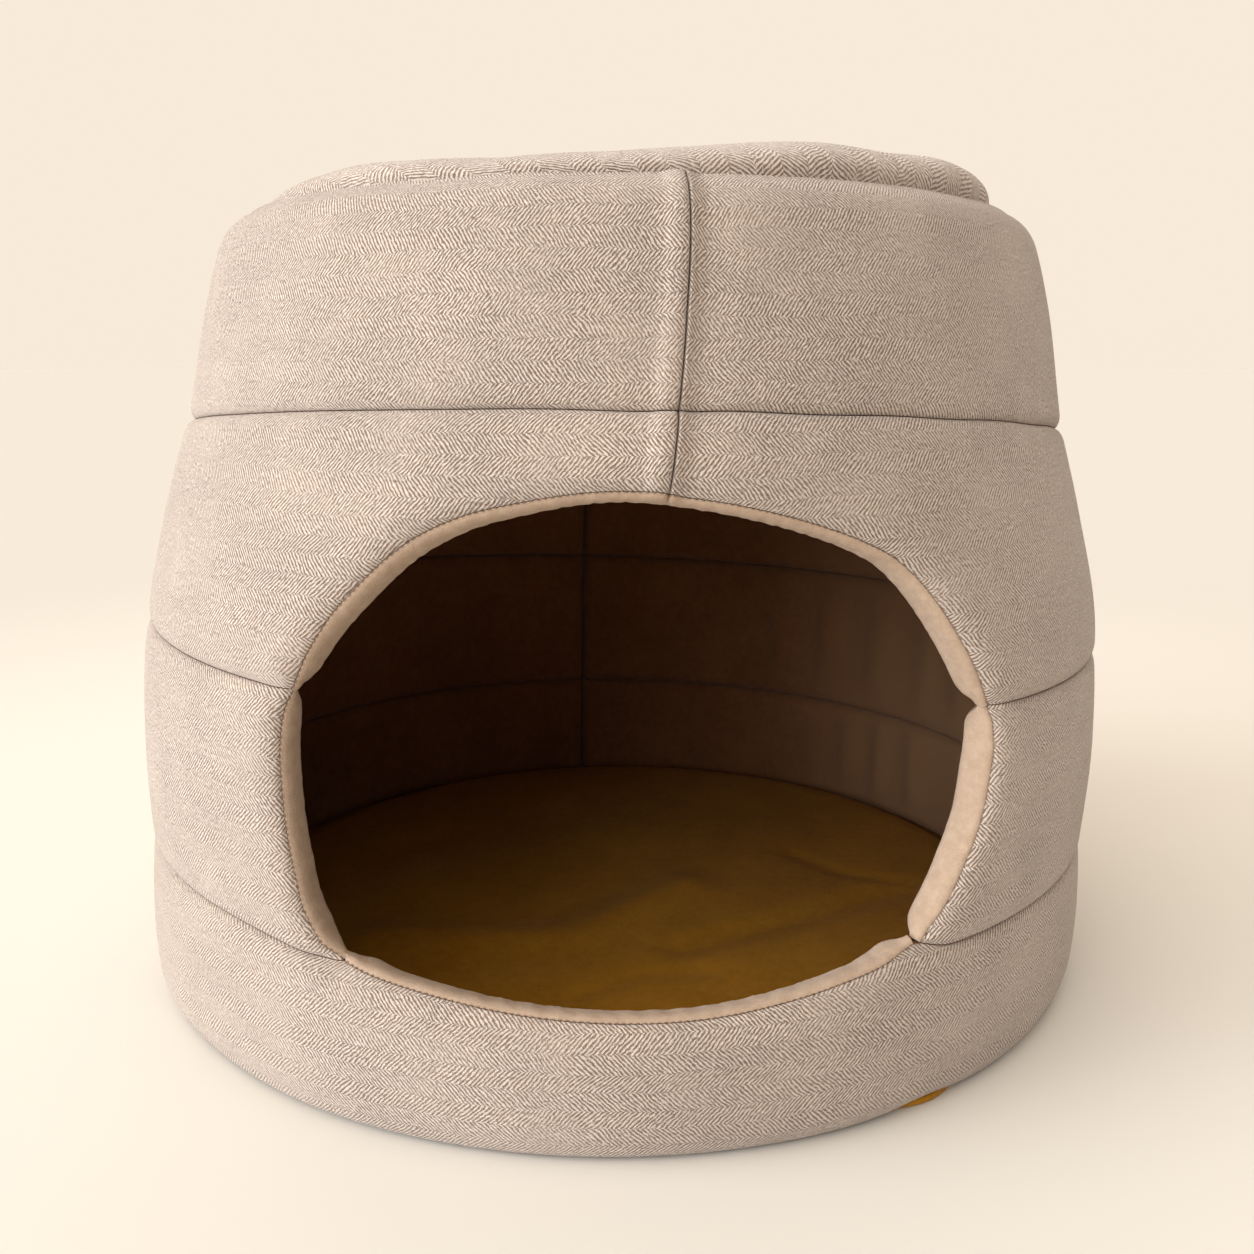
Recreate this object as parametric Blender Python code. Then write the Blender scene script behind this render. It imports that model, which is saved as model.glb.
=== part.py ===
"""Pet cave bed: a round cave of padded cloth with a doorway in front.

The wall stands in four padded tiers, parted by sewn seams, with a lining band behind each tier. A plain facing
strip goes round the doorway, a padded roof closes the top, and a base panel carries the wall and a floor cushion.

Metres, +Z up, and the doorway looks along -Y. Angles round the cave are in degrees, 0 at the front and positive
towards +X. A place on the wall is an angle, a height on its outer face, and a depth into the wall from there.
"""
import math

import bpy
import bmesh
import numpy as np

# Thicknesses
WALL = 0.0160
LINING = 0.0016
FACING = 0.0015
BASE = 0.0026
SEAT = 0.0004
SEAM_GAP = 0.0004

# The wall's outer face: its radius at each height, between the seams
WALL_PROFILE = (
    # height, radius
    (0.000, 0.2200),
    (0.030, 0.2204),
    (0.068, 0.2198),
    (0.113, 0.2200),
    (0.161, 0.2174),
    (0.208, 0.2065),
    (0.256, 0.1942),
    (0.295, 0.1862),
    (0.320, 0.1795),
    (0.334, 0.1745),
    (0.348, 0.1690),
)
BULGE = 0.0008
LEAN = 0.018
UPRIGHT_HEIGHT = 0.113

# Heights of the seams between the tiers, with the tilt of each towards +X
SEAM_C = 0.0645
SEAM_C_TILT = -0.0126
SEAM_C_DOOR_DROP = 0.0030
SEAM_C_DOOR_DROP_ANGLE = -28.0
SEAM_C_DOOR_DROP_REACH = 8.0
SEAM_B = 0.1558
SEAM_B_TILT = -0.037
SEAM_B_BACK_DROP = 0.007
SEAM_A = 0.2415
SEAM_A_TILT = -0.010
SEAM_A_FRONT_RISE = 0.0155
RIM = 0.3390
RIM_FRONT_DROP = 0.0070

# The doorway: its arch in tier 2, its jambs in tier 3 and its sill on tier 4
ARCH = (
    # angle, height
    (-32.4, 0.1601),
    (-31.1, 0.1705),
    (-29.2, 0.1835),
    (-25.7, 0.1995),
    (-21.8, 0.2125),
    (-16.9, 0.2215),
    (-10.4, 0.2275),
    (0.0, 0.2315),
    (6.8, 0.2290),
    (12.8, 0.2250),
    (19.0, 0.2190),
    (23.5, 0.2128),
    (26.9, 0.2060),
    (29.9, 0.1955),
    (34.2, 0.1720),
    (37.1, 0.1509),
)
JAMBS = (
    # height, left angle, right angle
    (0.1610, -32.4, 36.2),
    (0.1510, -33.3, 37.2),
    (0.1370, -33.7, 38.2),
    (0.1230, -33.5, 37.7),
    (0.1080, -33.0, 36.7),
    (0.0920, -32.1, 34.6),
    (0.0780, -31.1, 32.2),
    (0.0680, -29.2, 29.8),
    (0.0610, -26.6, 28.0),
)
SILL = (
    # angle, height
    (-27.2, 0.0626),
    (-23.8, 0.0606),
    (-16.8, 0.0572),
    (-10.4, 0.0544),
    (-4.3, 0.0527),
    (1.7, 0.0520),
    (8.8, 0.0527),
    (14.8, 0.0551),
    (21.3, 0.0588),
    (28.4, 0.0632),
)
FLARE_LEFT = 2.6
FLARE_RIGHT = 1.3
ARCH_INNER_RISE = 0.0030
SILL_INNER_DROP = 0.0040
FACING_CROWN = 0.0012
FACING_SETBACK = 0.0010
DOOR_MIDDLE = (0.0, -0.205, 0.140)

# The sewn edges of the tiers: how deep each rounds away, and how far from the edge it starts
EDGES = {
    # outer depth, outer reach, inner depth, inner reach
    "seam": (0.0034, 0.0055, 0.0032, 0.0065),
    "door": (0.0030, 0.0050, 0.0015, 0.0045),
    "foot": (0.0048, 0.0085, 0.0015, 0.0050),
    "rim": (0.0112, 0.0160, 0.0008, 0.0040),
}
CORNER_PINCH = 0.9
CORNER_PINCH_REACH = 0.014
CORNER_TOLERANCE = 0.0005
FLARE_FADE = 9.0
SILL_DROP_REACH = 0.020
JAMB_REACH = 0.004
JAMBS_CLEARED = 47.0
OUTER_STEPS = (0.0, 0.0018, 0.0055)
INNER_STEPS = (0.0, 0.0060)

# The closing seam at the front and the lining's seam at the back
CLOSING_SEAM_TIER_1 = 5.3
CLOSING_SEAM_TIER_2 = 4.3
CLOSING_SEAM_DEPTH = 0.0022
BACK_SEAM = -173.5
BACK_SEAM_DEPTH = 0.0028
SEAM_HALF_WIDTH = 1.5
COLUMN_STEP = 9.5
TURNS = 42

# The roof pad
ROOF_RADIUS = 0.1603
ROOF_SEAM_RADIUS = 0.1590
ROOF_SEAM_DROP = 0.0054
ROOF_EDGE_HEIGHT = 0.0052
ROOF_THICKNESS = 0.0272
ROOF_FULLNESS = 3.2
ROOF_FRONT_FALL = 0.060
ROOF_TILT = 0.037
ROOF_UNDERSIDE_DIP = 0.0022
ROOF_SEATED_FROM = 0.1530

# The base panel and the floor cushion
BASE_RADIUS = 0.2150
BASE_SHIFT = 0.0010
CUSHION_RADIUS = 0.1985
CUSHION_SIDE = 0.0086
CUSHION_CROWN = 0.0038
CUSHION_RIPPLE = 0.0007

COLOURS = {
    # linear red, green and blue, and roughness
    "herringbone cloth": ((0.56, 0.43, 0.34), 0.90),
    "brown lining": ((0.060, 0.030, 0.018), 0.85),
    "plain facing": ((0.50, 0.36, 0.26), 0.85),
    "olive cloth": ((0.20, 0.105, 0.018), 0.88),
}


def clear_scene():
    for thing in list(bpy.data.objects):
        bpy.data.objects.remove(thing)


def cloth(name):
    """The cloth's material, made once for each name."""
    found = bpy.data.materials.get(name)
    if found:
        return found
    colour, roughness = COLOURS[name]
    made = bpy.data.materials.new(name)
    made.use_nodes = True
    shader = made.node_tree.nodes["Principled BSDF"]
    shader.inputs["Base Color"].default_value = (*colour, 1.0)
    shader.inputs["Roughness"].default_value = roughness
    shader.inputs["Metallic"].default_value = 0.0
    return made


def along(rows, x, column=1):
    """A smooth curve through a table's rows, read at x."""
    rows = sorted(rows)
    xs = np.array([row[0] for row in rows])
    ys = np.array([row[column] for row in rows])
    slopes = np.gradient(ys, xs)
    x = min(max(x, xs[0]), xs[-1])
    i = min(int(np.searchsorted(xs, x, side="right")) - 1, len(xs) - 2)
    width = xs[i + 1] - xs[i]
    t = (x - xs[i]) / width
    start = (1 + 2 * t) * (1 - t) ** 2 * ys[i] + t * (1 - t) ** 2 * width * slopes[i]
    end = t * t * (3 - 2 * t) * ys[i + 1] + t * t * (t - 1) * width * slopes[i + 1]
    return float(start + end)


def wrap(angle):
    """The same angle between -180 and 180."""
    return (angle + 180.0) % 360.0 - 180.0


def side(angle):
    """How far to +X a place at this angle is, on the wall."""
    return along(WALL_PROFILE, UPRIGHT_HEIGHT) * math.sin(math.radians(angle))


def frontness(angle):
    """1 at the front and 0 from the sides to the back."""
    return max(0.0, math.cos(math.radians(angle)))


def backness(angle):
    return max(0.0, -math.cos(math.radians(angle)))


def seam_c(angle):
    beside_door = (wrap(angle) - SEAM_C_DOOR_DROP_ANGLE) / SEAM_C_DOOR_DROP_REACH
    return SEAM_C + SEAM_C_TILT * side(angle) - SEAM_C_DOOR_DROP * math.exp(-beside_door * beside_door)


def seam_b(angle):
    return SEAM_B + SEAM_B_TILT * side(angle) - SEAM_B_BACK_DROP * backness(angle)


def seam_a(angle):
    return SEAM_A + SEAM_A_TILT * side(angle) + SEAM_A_FRONT_RISE * frontness(angle)


def rim(angle):
    return RIM - RIM_FRONT_DROP * frontness(angle)


def foot(angle):
    return BASE + SEAT - SEAM_GAP


def jamb(height, right):
    """The doorway's angle at a height beside tier 3."""
    return along(JAMBS, height, 2 if right else 1)


ARCH_ENDS = (ARCH[0][0], ARCH[-1][0])
SILL_ENDS = (SILL[0][0], SILL[-1][0])


def under_tier_2(angle):
    """Seam B, or the arch where the doorway is."""
    if ARCH_ENDS[0] < angle < ARCH_ENDS[1]:
        return along(ARCH, angle)
    return seam_b(angle)


def over_tier_2_door(angle):
    """The arch's share of the way up from its ends to its crown."""
    return (along(ARCH, angle) - ARCH[0][1]) / (max(row[1] for row in ARCH) - ARCH[0][1])


def top_of_tier_4(angle):
    """Seam C, or the sill where the doorway is."""
    if SILL_ENDS[0] < angle < SILL_ENDS[1]:
        return along(SILL, angle)
    return seam_c(angle)


def wall_point(angle, height, depth):
    """The place at this angle, outer height and depth, square to the wall's outer face."""
    reach = 0.001
    radius = along(WALL_PROFILE, height)
    slope = (along(WALL_PROFILE, height + reach) - along(WALL_PROFILE, height - reach)) / (2 * reach)
    length = math.hypot(1.0, slope)
    radius -= depth / length
    height += depth * slope / length
    turn = math.radians(angle)
    shift = LEAN * (height - UPRIGHT_HEIGHT)
    return np.array((radius * math.sin(turn) + shift, -radius * math.cos(turn), height))


def rounding(distance, reach):
    """1 on a sewn edge, falling to 0 along a quarter circle at the reach."""
    if distance >= reach:
        return 0.0
    return 1.0 - math.sqrt(1.0 - (1.0 - distance / reach) ** 2)


def corner_pinch(from_door):
    """The seams draw in deeper close to the doorway."""
    return 1.0 + CORNER_PINCH * math.exp(-((from_door / CORNER_PINCH_REACH) ** 2))


def groove(angle, seam):
    """How deep an upright seam draws in at this angle, from 0 to 1."""
    return max(0.0, 1.0 - abs(wrap(angle - seam)) / SEAM_HALF_WIDTH)


def row_heights(low, high, steps, middles, lifts):
    """Heights from a lower edge to an upper, close together near both, with their distances from the two."""
    heights = [low + step * lifts[0] for step in steps]
    tops = [high - step * lifts[1] for step in reversed(steps)]
    start = heights[-1]
    for k in range(1, middles + 1):
        heights.append(start + (tops[0] - start) * k / (middles + 1))
    heights += tops
    return [(h, (h - low) / lifts[0], (high - h) / lifts[1]) for h in heights]


def dent(face, low, high, edges, pinches, from_door):
    """How far a face draws in near the sewn edges around it; face is 0 outside and 1 inside."""
    total = 0.0
    for distance, edge, pinch in ((low, edges[0], pinches[0]), (high, edges[1], pinches[1]), (from_door, "door", 1.0)):
        depth, reach = EDGES[edge][2 * face:2 * face + 2]
        total += depth * rounding(distance, reach) * (pinch if edge == "seam" else 1.0)
    return min(total, 0.42 * WALL)


class Column:
    """One upright strip of a tier and of the lining behind it, as places from bottom to top."""

    def __init__(self, outer_span, inner_span, edges, pinches=(1.0, 1.0), from_door=1.0, lifts=(1.0, 1.0)):
        self.outer_span = outer_span
        self.inner_span = inner_span
        self.edges = edges
        self.pinches = pinches
        self.from_door = from_door
        self.lifts = lifts

    def places(self, outer_angle, inner_angle, closing_seam=None):
        """The tier's outer and inner faces, then the lining's back and face.

        Both angles are functions of the height.
        """
        outer = []
        inner = []
        lining_back = []
        lining_face = []
        for height, low, high in row_heights(*self.outer_span, OUTER_STEPS, 2, self.lifts):
            angle = outer_angle(height)
            share = low / (low + high)
            depth = dent(0, low, high, self.edges, self.pinches, self.from_door)
            depth -= BULGE * 4.0 * share * (1.0 - share)
            if closing_seam is not None:
                depth += CLOSING_SEAM_DEPTH * groove(angle, closing_seam)
            outer.append(wall_point(angle, height, depth))
        for height, low, high in row_heights(*self.inner_span, INNER_STEPS, 2, self.lifts):
            angle = inner_angle(height)
            depth = WALL - dent(1, low, high, self.edges, self.pinches, self.from_door)
            depth -= BACK_SEAM_DEPTH * groove(angle, BACK_SEAM)
            inner.append(wall_point(angle, height, depth))
            lining_back.append(wall_point(angle, height, depth + SEAT))
            lining_face.append(wall_point(angle, height, depth + SEAT + LINING))
        return outer, inner, lining_back, lining_face


def span(lower, upper, angle):
    """A band's clear height at an angle."""
    return lower(angle) + SEAM_GAP, upper(angle) - SEAM_GAP


def filled(marks, step):
    """The marked angles all the way round, with more between them where they lie far apart."""
    marks = sorted(set(wrap(mark) for mark in marks))
    angles = []
    for mark, following in zip(marks, marks[1:] + [marks[0] + 360.0]):
        count = max(1, math.ceil((following - mark) / step))
        angles += [mark + (following - mark) * k / count for k in range(count)]
    return angles


def upright(seam):
    return [seam - SEAM_HALF_WIDTH, seam, seam + SEAM_HALF_WIDTH]


def evenly_along(table, count):
    """Angles that lie evenly along a table's curve."""
    angles = np.linspace(table[0][0], table[-1][0], 200)
    heights = np.array([along(table, angle) for angle in angles])
    radius = along(WALL_PROFILE, UPRIGHT_HEIGHT)
    steps = np.hypot(np.diff(np.radians(angles)) * radius, np.diff(heights))
    run = np.concatenate(([0.0], np.cumsum(steps)))
    return [float(a) for a in np.interp(np.linspace(0, run[-1], count + 1), run, angles)]


def lift(edge, angle):
    """How much longer a step up the wall is than a step square to a sloping edge."""
    reach = 1.2
    run = math.radians(2 * reach) * along(WALL_PROFILE, UPRIGHT_HEIGHT)
    return min(1.9, math.hypot(1.0, (edge(angle + reach) - edge(angle - reach)) / run))


def arc_from(angle, ends):
    """The distance along the wall from the nearer of two angles."""
    gap = min(abs(wrap(angle - end)) for end in ends)
    return math.radians(gap) * along(WALL_PROFILE, UPRIGHT_HEIGHT)


def build_mesh(name, points, faces, material):
    mesh = bpy.data.meshes.new(name)
    mesh.from_pydata([tuple(point) for point in points], [], faces)
    mesh.validate()
    shape = bmesh.new()
    shape.from_mesh(mesh)
    bmesh.ops.recalc_face_normals(shape, faces=shape.faces)
    shape.to_mesh(mesh)
    shape.free()
    mesh.shade_smooth()
    mesh.set_sharp_from_angle(angle=math.radians(50))
    mesh.materials.append(cloth(material))
    made = bpy.data.objects.new(name, mesh)
    bpy.context.collection.objects.link(made)
    return made


def zip_faces(left, right):
    """Triangles between two rows of points that may have different counts."""
    faces = []
    i = 0
    j = 0
    while i < len(left) - 1 or j < len(right) - 1:
        ahead = (i + 1) / (len(left) - 1) if i < len(left) - 1 else 2.0
        beside = (j + 1) / (len(right) - 1) if j < len(right) - 1 else 2.0
        if ahead <= beside:
            faces.append((left[i], left[i + 1], right[j]))
            i += 1
        else:
            faces.append((left[i], right[j + 1], right[j]))
            j += 1
    return faces


def shell(name, fronts, backs, closed, material):
    """A solid between two grids of points, given column by column: a ring, or a strip with two ends.

    Both faces are split along the same diagonals, so that neighbouring pieces lie parallel.
    """
    front_count = len(fronts[0])
    back_count = len(backs[0])
    per_column = front_count + back_count
    points = []
    for front, back in zip(fronts, backs):
        points += list(front) + list(reversed(back))
    faces = []
    columns = len(fronts)
    for c in range(columns if closed else columns - 1):
        here = c * per_column
        there = ((c + 1) % columns) * per_column
        for k in range(per_column):
            following = (k + 1) % per_column
            if k < front_count:
                faces.append((here + k, there + k, there + following))
                faces.append((here + k, there + following, here + following))
            else:
                faces.append((here + k, there + k, here + following))
                faces.append((there + k, there + following, here + following))
    if not closed:
        for c in (0, columns - 1):
            start = c * per_column
            front = [start + k for k in range(front_count)]
            back = [start + per_column - 1 - k for k in range(back_count)]
            faces += zip_faces(front, back)
    return build_mesh(name, points, faces, material)


def add_tier(number, columns, closed):
    outer, inner, lining_back, lining_face = zip(*columns)
    shell(f"tier_{number}", outer, inner, closed, "herringbone cloth")
    shell(f"lining_{number}", lining_back, lining_face, closed, "brown lining")


def add_facing(name, edges):
    """A strip over the wall's end: edges holds its outer and inner places, in order round the doorway."""
    edges = [(np.array(outer), np.array(inner)) for outer, inner in edges]
    for first, second in ((0, 1), (-1, -2)):
        run = np.linalg.norm(edges[second][0] - edges[first][0])
        share = FACING_SETBACK / run
        edges[first] = tuple(a + (b - a) * share for a, b in zip(edges[first], edges[second]))
    middles = [(outer + inner) / 2 for outer, inner in edges]
    fronts = []
    backs = []
    last = len(edges) - 1
    for k, (outer, inner) in enumerate(edges):
        tangent = middles[min(k + 1, last)] - middles[max(k - 1, 0)]
        out = np.cross(tangent, inner - outer)
        out /= np.linalg.norm(out)
        if np.dot(out, np.array(DOOR_MIDDLE) - middles[k]) < 0:
            out = -out
        front = []
        back = []
        for across in (-1.0, -0.5, 0.0, 0.5, 1.0):
            place = outer + (inner - outer) * (across + 1.0) / 2.0
            crown = FACING_CROWN * (1.0 - across * across)
            front.append(place + out * (SEAT + crown + FACING))
            back.append(place + out * (SEAT + crown))
        fronts.append(front)
        backs.append(back)
    return shell(name, fronts, backs, False, "plain facing")


def make_tier_1():
    columns = []
    for angle in filled(upright(CLOSING_SEAM_TIER_1) + upright(BACK_SEAM), COLUMN_STEP):
        heights = span(seam_a, rim, angle)
        column = Column(heights, heights, ("seam", "rim"))
        columns.append(column.places(lambda h: angle, lambda h: angle, CLOSING_SEAM_TIER_1))
    add_tier(1, columns, True)


def flare_at(angle, ends):
    """How much farther round the inner face's doorway edge lies than the outer's, fading out past the corners."""
    left, right = ends
    if angle < left:
        return -FLARE_LEFT * max(0.0, 1.0 - (left - angle) / FLARE_FADE)
    if angle > right:
        return FLARE_RIGHT * max(0.0, 1.0 - (angle - right) / FLARE_FADE)
    if angle < 0.0:
        return -FLARE_LEFT * angle / left
    return FLARE_RIGHT * angle / right


def door_ring(lower, upper, ends, edge_at_door, inner_shift, marks, closing_seam=None):
    """The columns of a tier that rings the cave and meets the doorway along its lower or its upper edge.

    It gives the columns, and the tier's and lining's edges along the doorway from left to right.
    """
    columns = []
    door_edge = []
    meets_below = edge_at_door == 0
    shaped = lower if meets_below else upper
    corners = [ends[0] - 2.0, ends[0] - 5.0, ends[1] + 2.0, ends[1] + 5.0]
    for angle in filled(marks + corners, COLUMN_STEP):
        from_corner = arc_from(angle, ends)
        beside = ends[0] - 0.01 < angle < ends[1] + 0.01
        in_door = beside and from_corner > CORNER_TOLERANCE
        inner_angle = angle + flare_at(angle, ends)
        heights = span(lower, upper, angle)
        inner_heights = list(heights if in_door else span(lower, upper, inner_angle))
        if beside and not in_door:
            outside = seam_b if meets_below else seam_c
            inner_heights[edge_at_door] = outside(inner_angle) + (SEAM_GAP if meets_below else -SEAM_GAP)
        if in_door:
            inner_heights[edge_at_door] += inner_shift(angle)
        edges = ["seam", "seam"] if meets_below else ["foot", "seam"]
        pinches = [1.0, 1.0]
        lifts = [1.0, 1.0]
        if in_door:
            edges[edge_at_door] = "door"
            lifts[edge_at_door] = lift(shaped, angle)
        pinches[edge_at_door] = corner_pinch(from_corner)
        column = Column(heights, inner_heights, edges, pinches, 1.0, lifts)
        faces = column.places(lambda h: angle, lambda h: inner_angle, closing_seam)
        columns.append(faces)
        if beside:
            at = 0 if meets_below else -1
            door_edge.append((angle, faces[0][at], faces[3][at]))
    door_edge.sort(key=lambda place: place[0])
    return columns, [(outer, inner) for angle, outer, inner in door_edge]


def make_tier_2():
    """The tier over the doorway, whose lower edge is the arch."""
    seam = upright(CLOSING_SEAM_TIER_2)
    arch = [angle for angle in evenly_along(ARCH, 14) if min(abs(angle - mark) for mark in seam) > 1.0]
    marks = arch + seam + upright(BACK_SEAM)
    rise = lambda angle: ARCH_INNER_RISE * over_tier_2_door(angle)
    columns, edge = door_ring(under_tier_2, seam_a, ARCH_ENDS, 0, rise, marks, CLOSING_SEAM_TIER_2)
    add_tier(2, columns, True)
    add_facing("facing_arch", edge)


def jamb_column(right, step, share):
    """A column of tier 3 that follows the jamb, a step away from it round the wall."""
    radius = along(WALL_PROFILE, UPRIGHT_HEIGHT)
    away = math.degrees(step / radius) * (1.0 if right else -1.0)
    flare = (FLARE_RIGHT if right else -FLARE_LEFT) * share

    def angle_at(height):
        slope = math.radians(jamb(height + JAMB_REACH, right) - jamb(height - JAMB_REACH, right))
        return jamb(height, right) + away * math.hypot(1.0, slope * radius / (2 * JAMB_REACH))

    def inner_angle_at(height):
        return angle_at(height) + flare

    top = seam_b(ARCH_ENDS[1 if right else 0])
    bottom = seam_c(SILL_ENDS[1 if right else 0])
    spans = []
    for angle in (angle_at, inner_angle_at):
        spans.append((seam_c(angle(bottom)) + SEAM_GAP, seam_b(angle(top)) - SEAM_GAP))
    pinch = corner_pinch(step)
    return Column(*spans, ("seam", "seam"), (pinch, pinch), step).places(angle_at, inner_angle_at)


def make_tier_3():
    """The tier that the doorway parts, so it ends in two jambs."""
    beside_jamb = ((0.0, 1.0), (0.0018, 0.85), (0.0055, 0.6), (0.0140, 0.25))
    start = JAMBS_CLEARED
    plain = [a for a in np.arange(start, 361.0 - start, COLUMN_STEP) if abs(wrap(a - BACK_SEAM)) > 2.5]
    plain = sorted(plain + [mark + 360.0 for mark in upright(BACK_SEAM)])
    columns = [jamb_column(True, step, share) for step, share in beside_jamb]
    for angle in plain:
        heights = span(seam_c, seam_b, angle)
        columns.append(Column(heights, heights, ("seam", "seam")).places(lambda h: angle, lambda h: angle))
    columns += [jamb_column(False, step, share) for step, share in reversed(beside_jamb)]
    add_tier(3, columns, False)
    for name, column in (("facing_right", columns[0]), ("facing_left", columns[-1])):
        add_facing(name, list(zip(level_with(column[0], column[3]), column[3])))


def level_with(places, others):
    """Places on the first row's line, each as far up it as its partner is up the other row."""
    places = np.array(places)
    others = np.array(others)
    up = (places[:, 2] - places[0, 2]) / (places[-1, 2] - places[0, 2])
    at = (others[:, 2] - others[0, 2]) / (others[-1, 2] - others[0, 2])
    return [np.array([np.interp(share, up, places[:, axis]) for axis in range(3)]) for share in at]


def make_tier_4():
    """The bottom tier, whose upper edge is the sill."""
    marks = evenly_along(SILL, 9) + upright(BACK_SEAM)
    drop = lambda angle: -SILL_INNER_DROP * min(1.0, arc_from(angle, SILL_ENDS) / SILL_DROP_REACH)
    columns, edge = door_ring(foot, top_of_tier_4, SILL_ENDS, 1, drop, marks)
    add_tier(4, columns, True)
    add_facing("facing_sill", edge)


def turned(name, section, shape, material):
    """A round pad: section runs from its underside's middle to its top's middle, as radius and height.

    shape takes each point's angle, radius and height and gives its place.
    """
    points = [shape(0.0, *section[0])]
    for k in range(TURNS):
        points += [shape(360.0 * k / TURNS, radius, height) for radius, height in section[1:-1]]
    points.append(shape(0.0, *section[-1]))
    per_turn = len(section) - 2
    top = len(points) - 1
    faces = []
    for k in range(TURNS):
        here = 1 + k * per_turn
        there = 1 + (k + 1) % TURNS * per_turn
        faces.append((0, there, here))
        for j in range(per_turn - 1):
            faces.append((here + j, there + j, there + j + 1))
            faces.append((here + j, there + j + 1, here + j + 1))
        faces.append((here + per_turn - 1, there + per_turn - 1, top))
    return build_mesh(name, points, faces, material)


def make_roof():
    """The padded roof: it sits on the rim, crowns behind it, and lies lower at the front."""
    section = [(0.0, -ROOF_UNDERSIDE_DIP), (0.09, -ROOF_UNDERSIDE_DIP), (ROOF_SEATED_FROM, -ROOF_UNDERSIDE_DIP)]
    section += [(ROOF_SEAM_RADIUS, 0.0), (ROOF_RADIUS - 0.0010, 0.0035)]
    for turn in (0.0, 18.0, 38.0, 58.0, 76.0, 90.0):
        across = max(0.0, math.cos(math.radians(turn))) ** (2.0 / ROOF_FULLNESS)
        up = math.sin(math.radians(turn)) ** (2.0 / ROOF_FULLNESS)
        if turn == 90.0:
            across = 0.0
        section.append((ROOF_RADIUS * across, ROOF_EDGE_HEIGHT + (ROOF_THICKNESS - ROOF_EDGE_HEIGHT) * up))

    def place(angle, radius, height):
        turn = math.radians(angle)
        out = radius / ROOF_RADIUS
        seat = RIM + (rim(wrap(angle)) - RIM) * out * out - ROOF_SEAM_DROP + SEAT
        x = radius * math.sin(turn)
        y = -radius * math.cos(turn)
        raised = max(0.0, height) / ROOF_THICKNESS
        z = seat + height + raised * (ROOF_TILT * x - ROOF_FRONT_FALL * max(0.0, -y))
        return np.array((x + LEAN * (RIM - UPRIGHT_HEIGHT), y, z))

    turned("roof_pad", section, place, "herringbone cloth")


def make_cushion():
    """The floor cushion: drawn-in side, soft shoulder, low crown and a few broad ripples."""
    radius = CUSHION_RADIUS
    section = [
        (0.0, 0.0),
        (radius - 0.0090, 0.0),
        (radius - 0.0022, 0.0018),
        (radius, 0.48 * CUSHION_SIDE),
        (radius - 0.0028, 0.82 * CUSHION_SIDE),
        (radius - 0.0110, 1.02 * CUSHION_SIDE),
        (0.80 * radius, CUSHION_SIDE + 0.42 * CUSHION_CROWN),
        (0.45 * radius, CUSHION_SIDE + 0.85 * CUSHION_CROWN),
        (0.0, CUSHION_SIDE + CUSHION_CROWN),
    ]

    def place(angle, out, height):
        turn = math.radians(angle)
        x = out * math.sin(turn)
        y = -out * math.cos(turn)
        ripple = math.sin(34.0 * x + 17.0 * y) + 0.6 * math.sin(52.0 * y - 21.0 * x)
        lifted = min(1.0, height / CUSHION_SIDE) * (1.0 - (out / radius) ** 6)
        return np.array((x, y, BASE + SEAT + height + CUSHION_RIPPLE * ripple * lifted))

    turned("floor_cushion", section, place, "olive cloth")


def make_base():
    """The base panel, flat underneath."""
    edge = 0.3 * BASE
    section = [(0.0, 0.0), (BASE_RADIUS - edge, 0.0), (BASE_RADIUS, edge), (BASE_RADIUS, BASE - edge)]
    section += [(BASE_RADIUS - edge, BASE), (0.0, BASE)]

    def place(angle, radius, height):
        turn = math.radians(angle)
        return np.array((radius * math.sin(turn) + BASE_SHIFT, -radius * math.cos(turn), height))

    turned("base_panel", section, place, "olive cloth")


def main():
    clear_scene()
    make_base()
    make_cushion()
    make_tier_4()
    make_tier_3()
    make_tier_2()
    make_tier_1()
    make_roof()


main()
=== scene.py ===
"""Pet cave bed: the finish of its tiers, lining, facing, roof and cushion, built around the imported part.

Metres, +Z up, and the doorway looks along -Y. Angles round the cave are in degrees, 0 at the front and
positive towards +X. A place on the wall is an angle, a height on its outer face, and a depth into the wall.
"""
import math

import bpy
import numpy as np
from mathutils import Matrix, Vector


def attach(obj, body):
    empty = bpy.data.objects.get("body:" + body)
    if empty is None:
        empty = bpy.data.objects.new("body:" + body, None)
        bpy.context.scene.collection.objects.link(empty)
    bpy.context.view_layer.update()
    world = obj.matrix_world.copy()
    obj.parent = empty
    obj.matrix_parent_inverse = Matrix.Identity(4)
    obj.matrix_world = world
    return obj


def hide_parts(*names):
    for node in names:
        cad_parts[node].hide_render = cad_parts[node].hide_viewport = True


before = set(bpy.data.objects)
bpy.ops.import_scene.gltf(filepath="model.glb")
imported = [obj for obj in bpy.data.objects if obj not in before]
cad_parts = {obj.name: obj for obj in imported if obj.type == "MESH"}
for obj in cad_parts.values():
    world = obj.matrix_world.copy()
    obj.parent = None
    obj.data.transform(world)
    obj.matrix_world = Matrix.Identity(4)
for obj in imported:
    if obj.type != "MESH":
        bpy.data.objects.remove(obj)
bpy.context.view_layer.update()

bl_info = {
    "name": "Pet cave bed",
    "version": (1, 0, 0),
    "blender": (4, 5, 0),
    "location": "3D View > Sidebar > Cave bed",
    "description": "Builds the cloth pieces of a padded pet cave bed around its packed part",
    "category": "Add Mesh",
}

BODY = "root"

# Thicknesses
WALL = 0.0160
LINING = 0.0016
FACING = 0.0013
BASE = 0.0026
SEAT = 0.0004
PIECE_GAP = 0.00016

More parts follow.
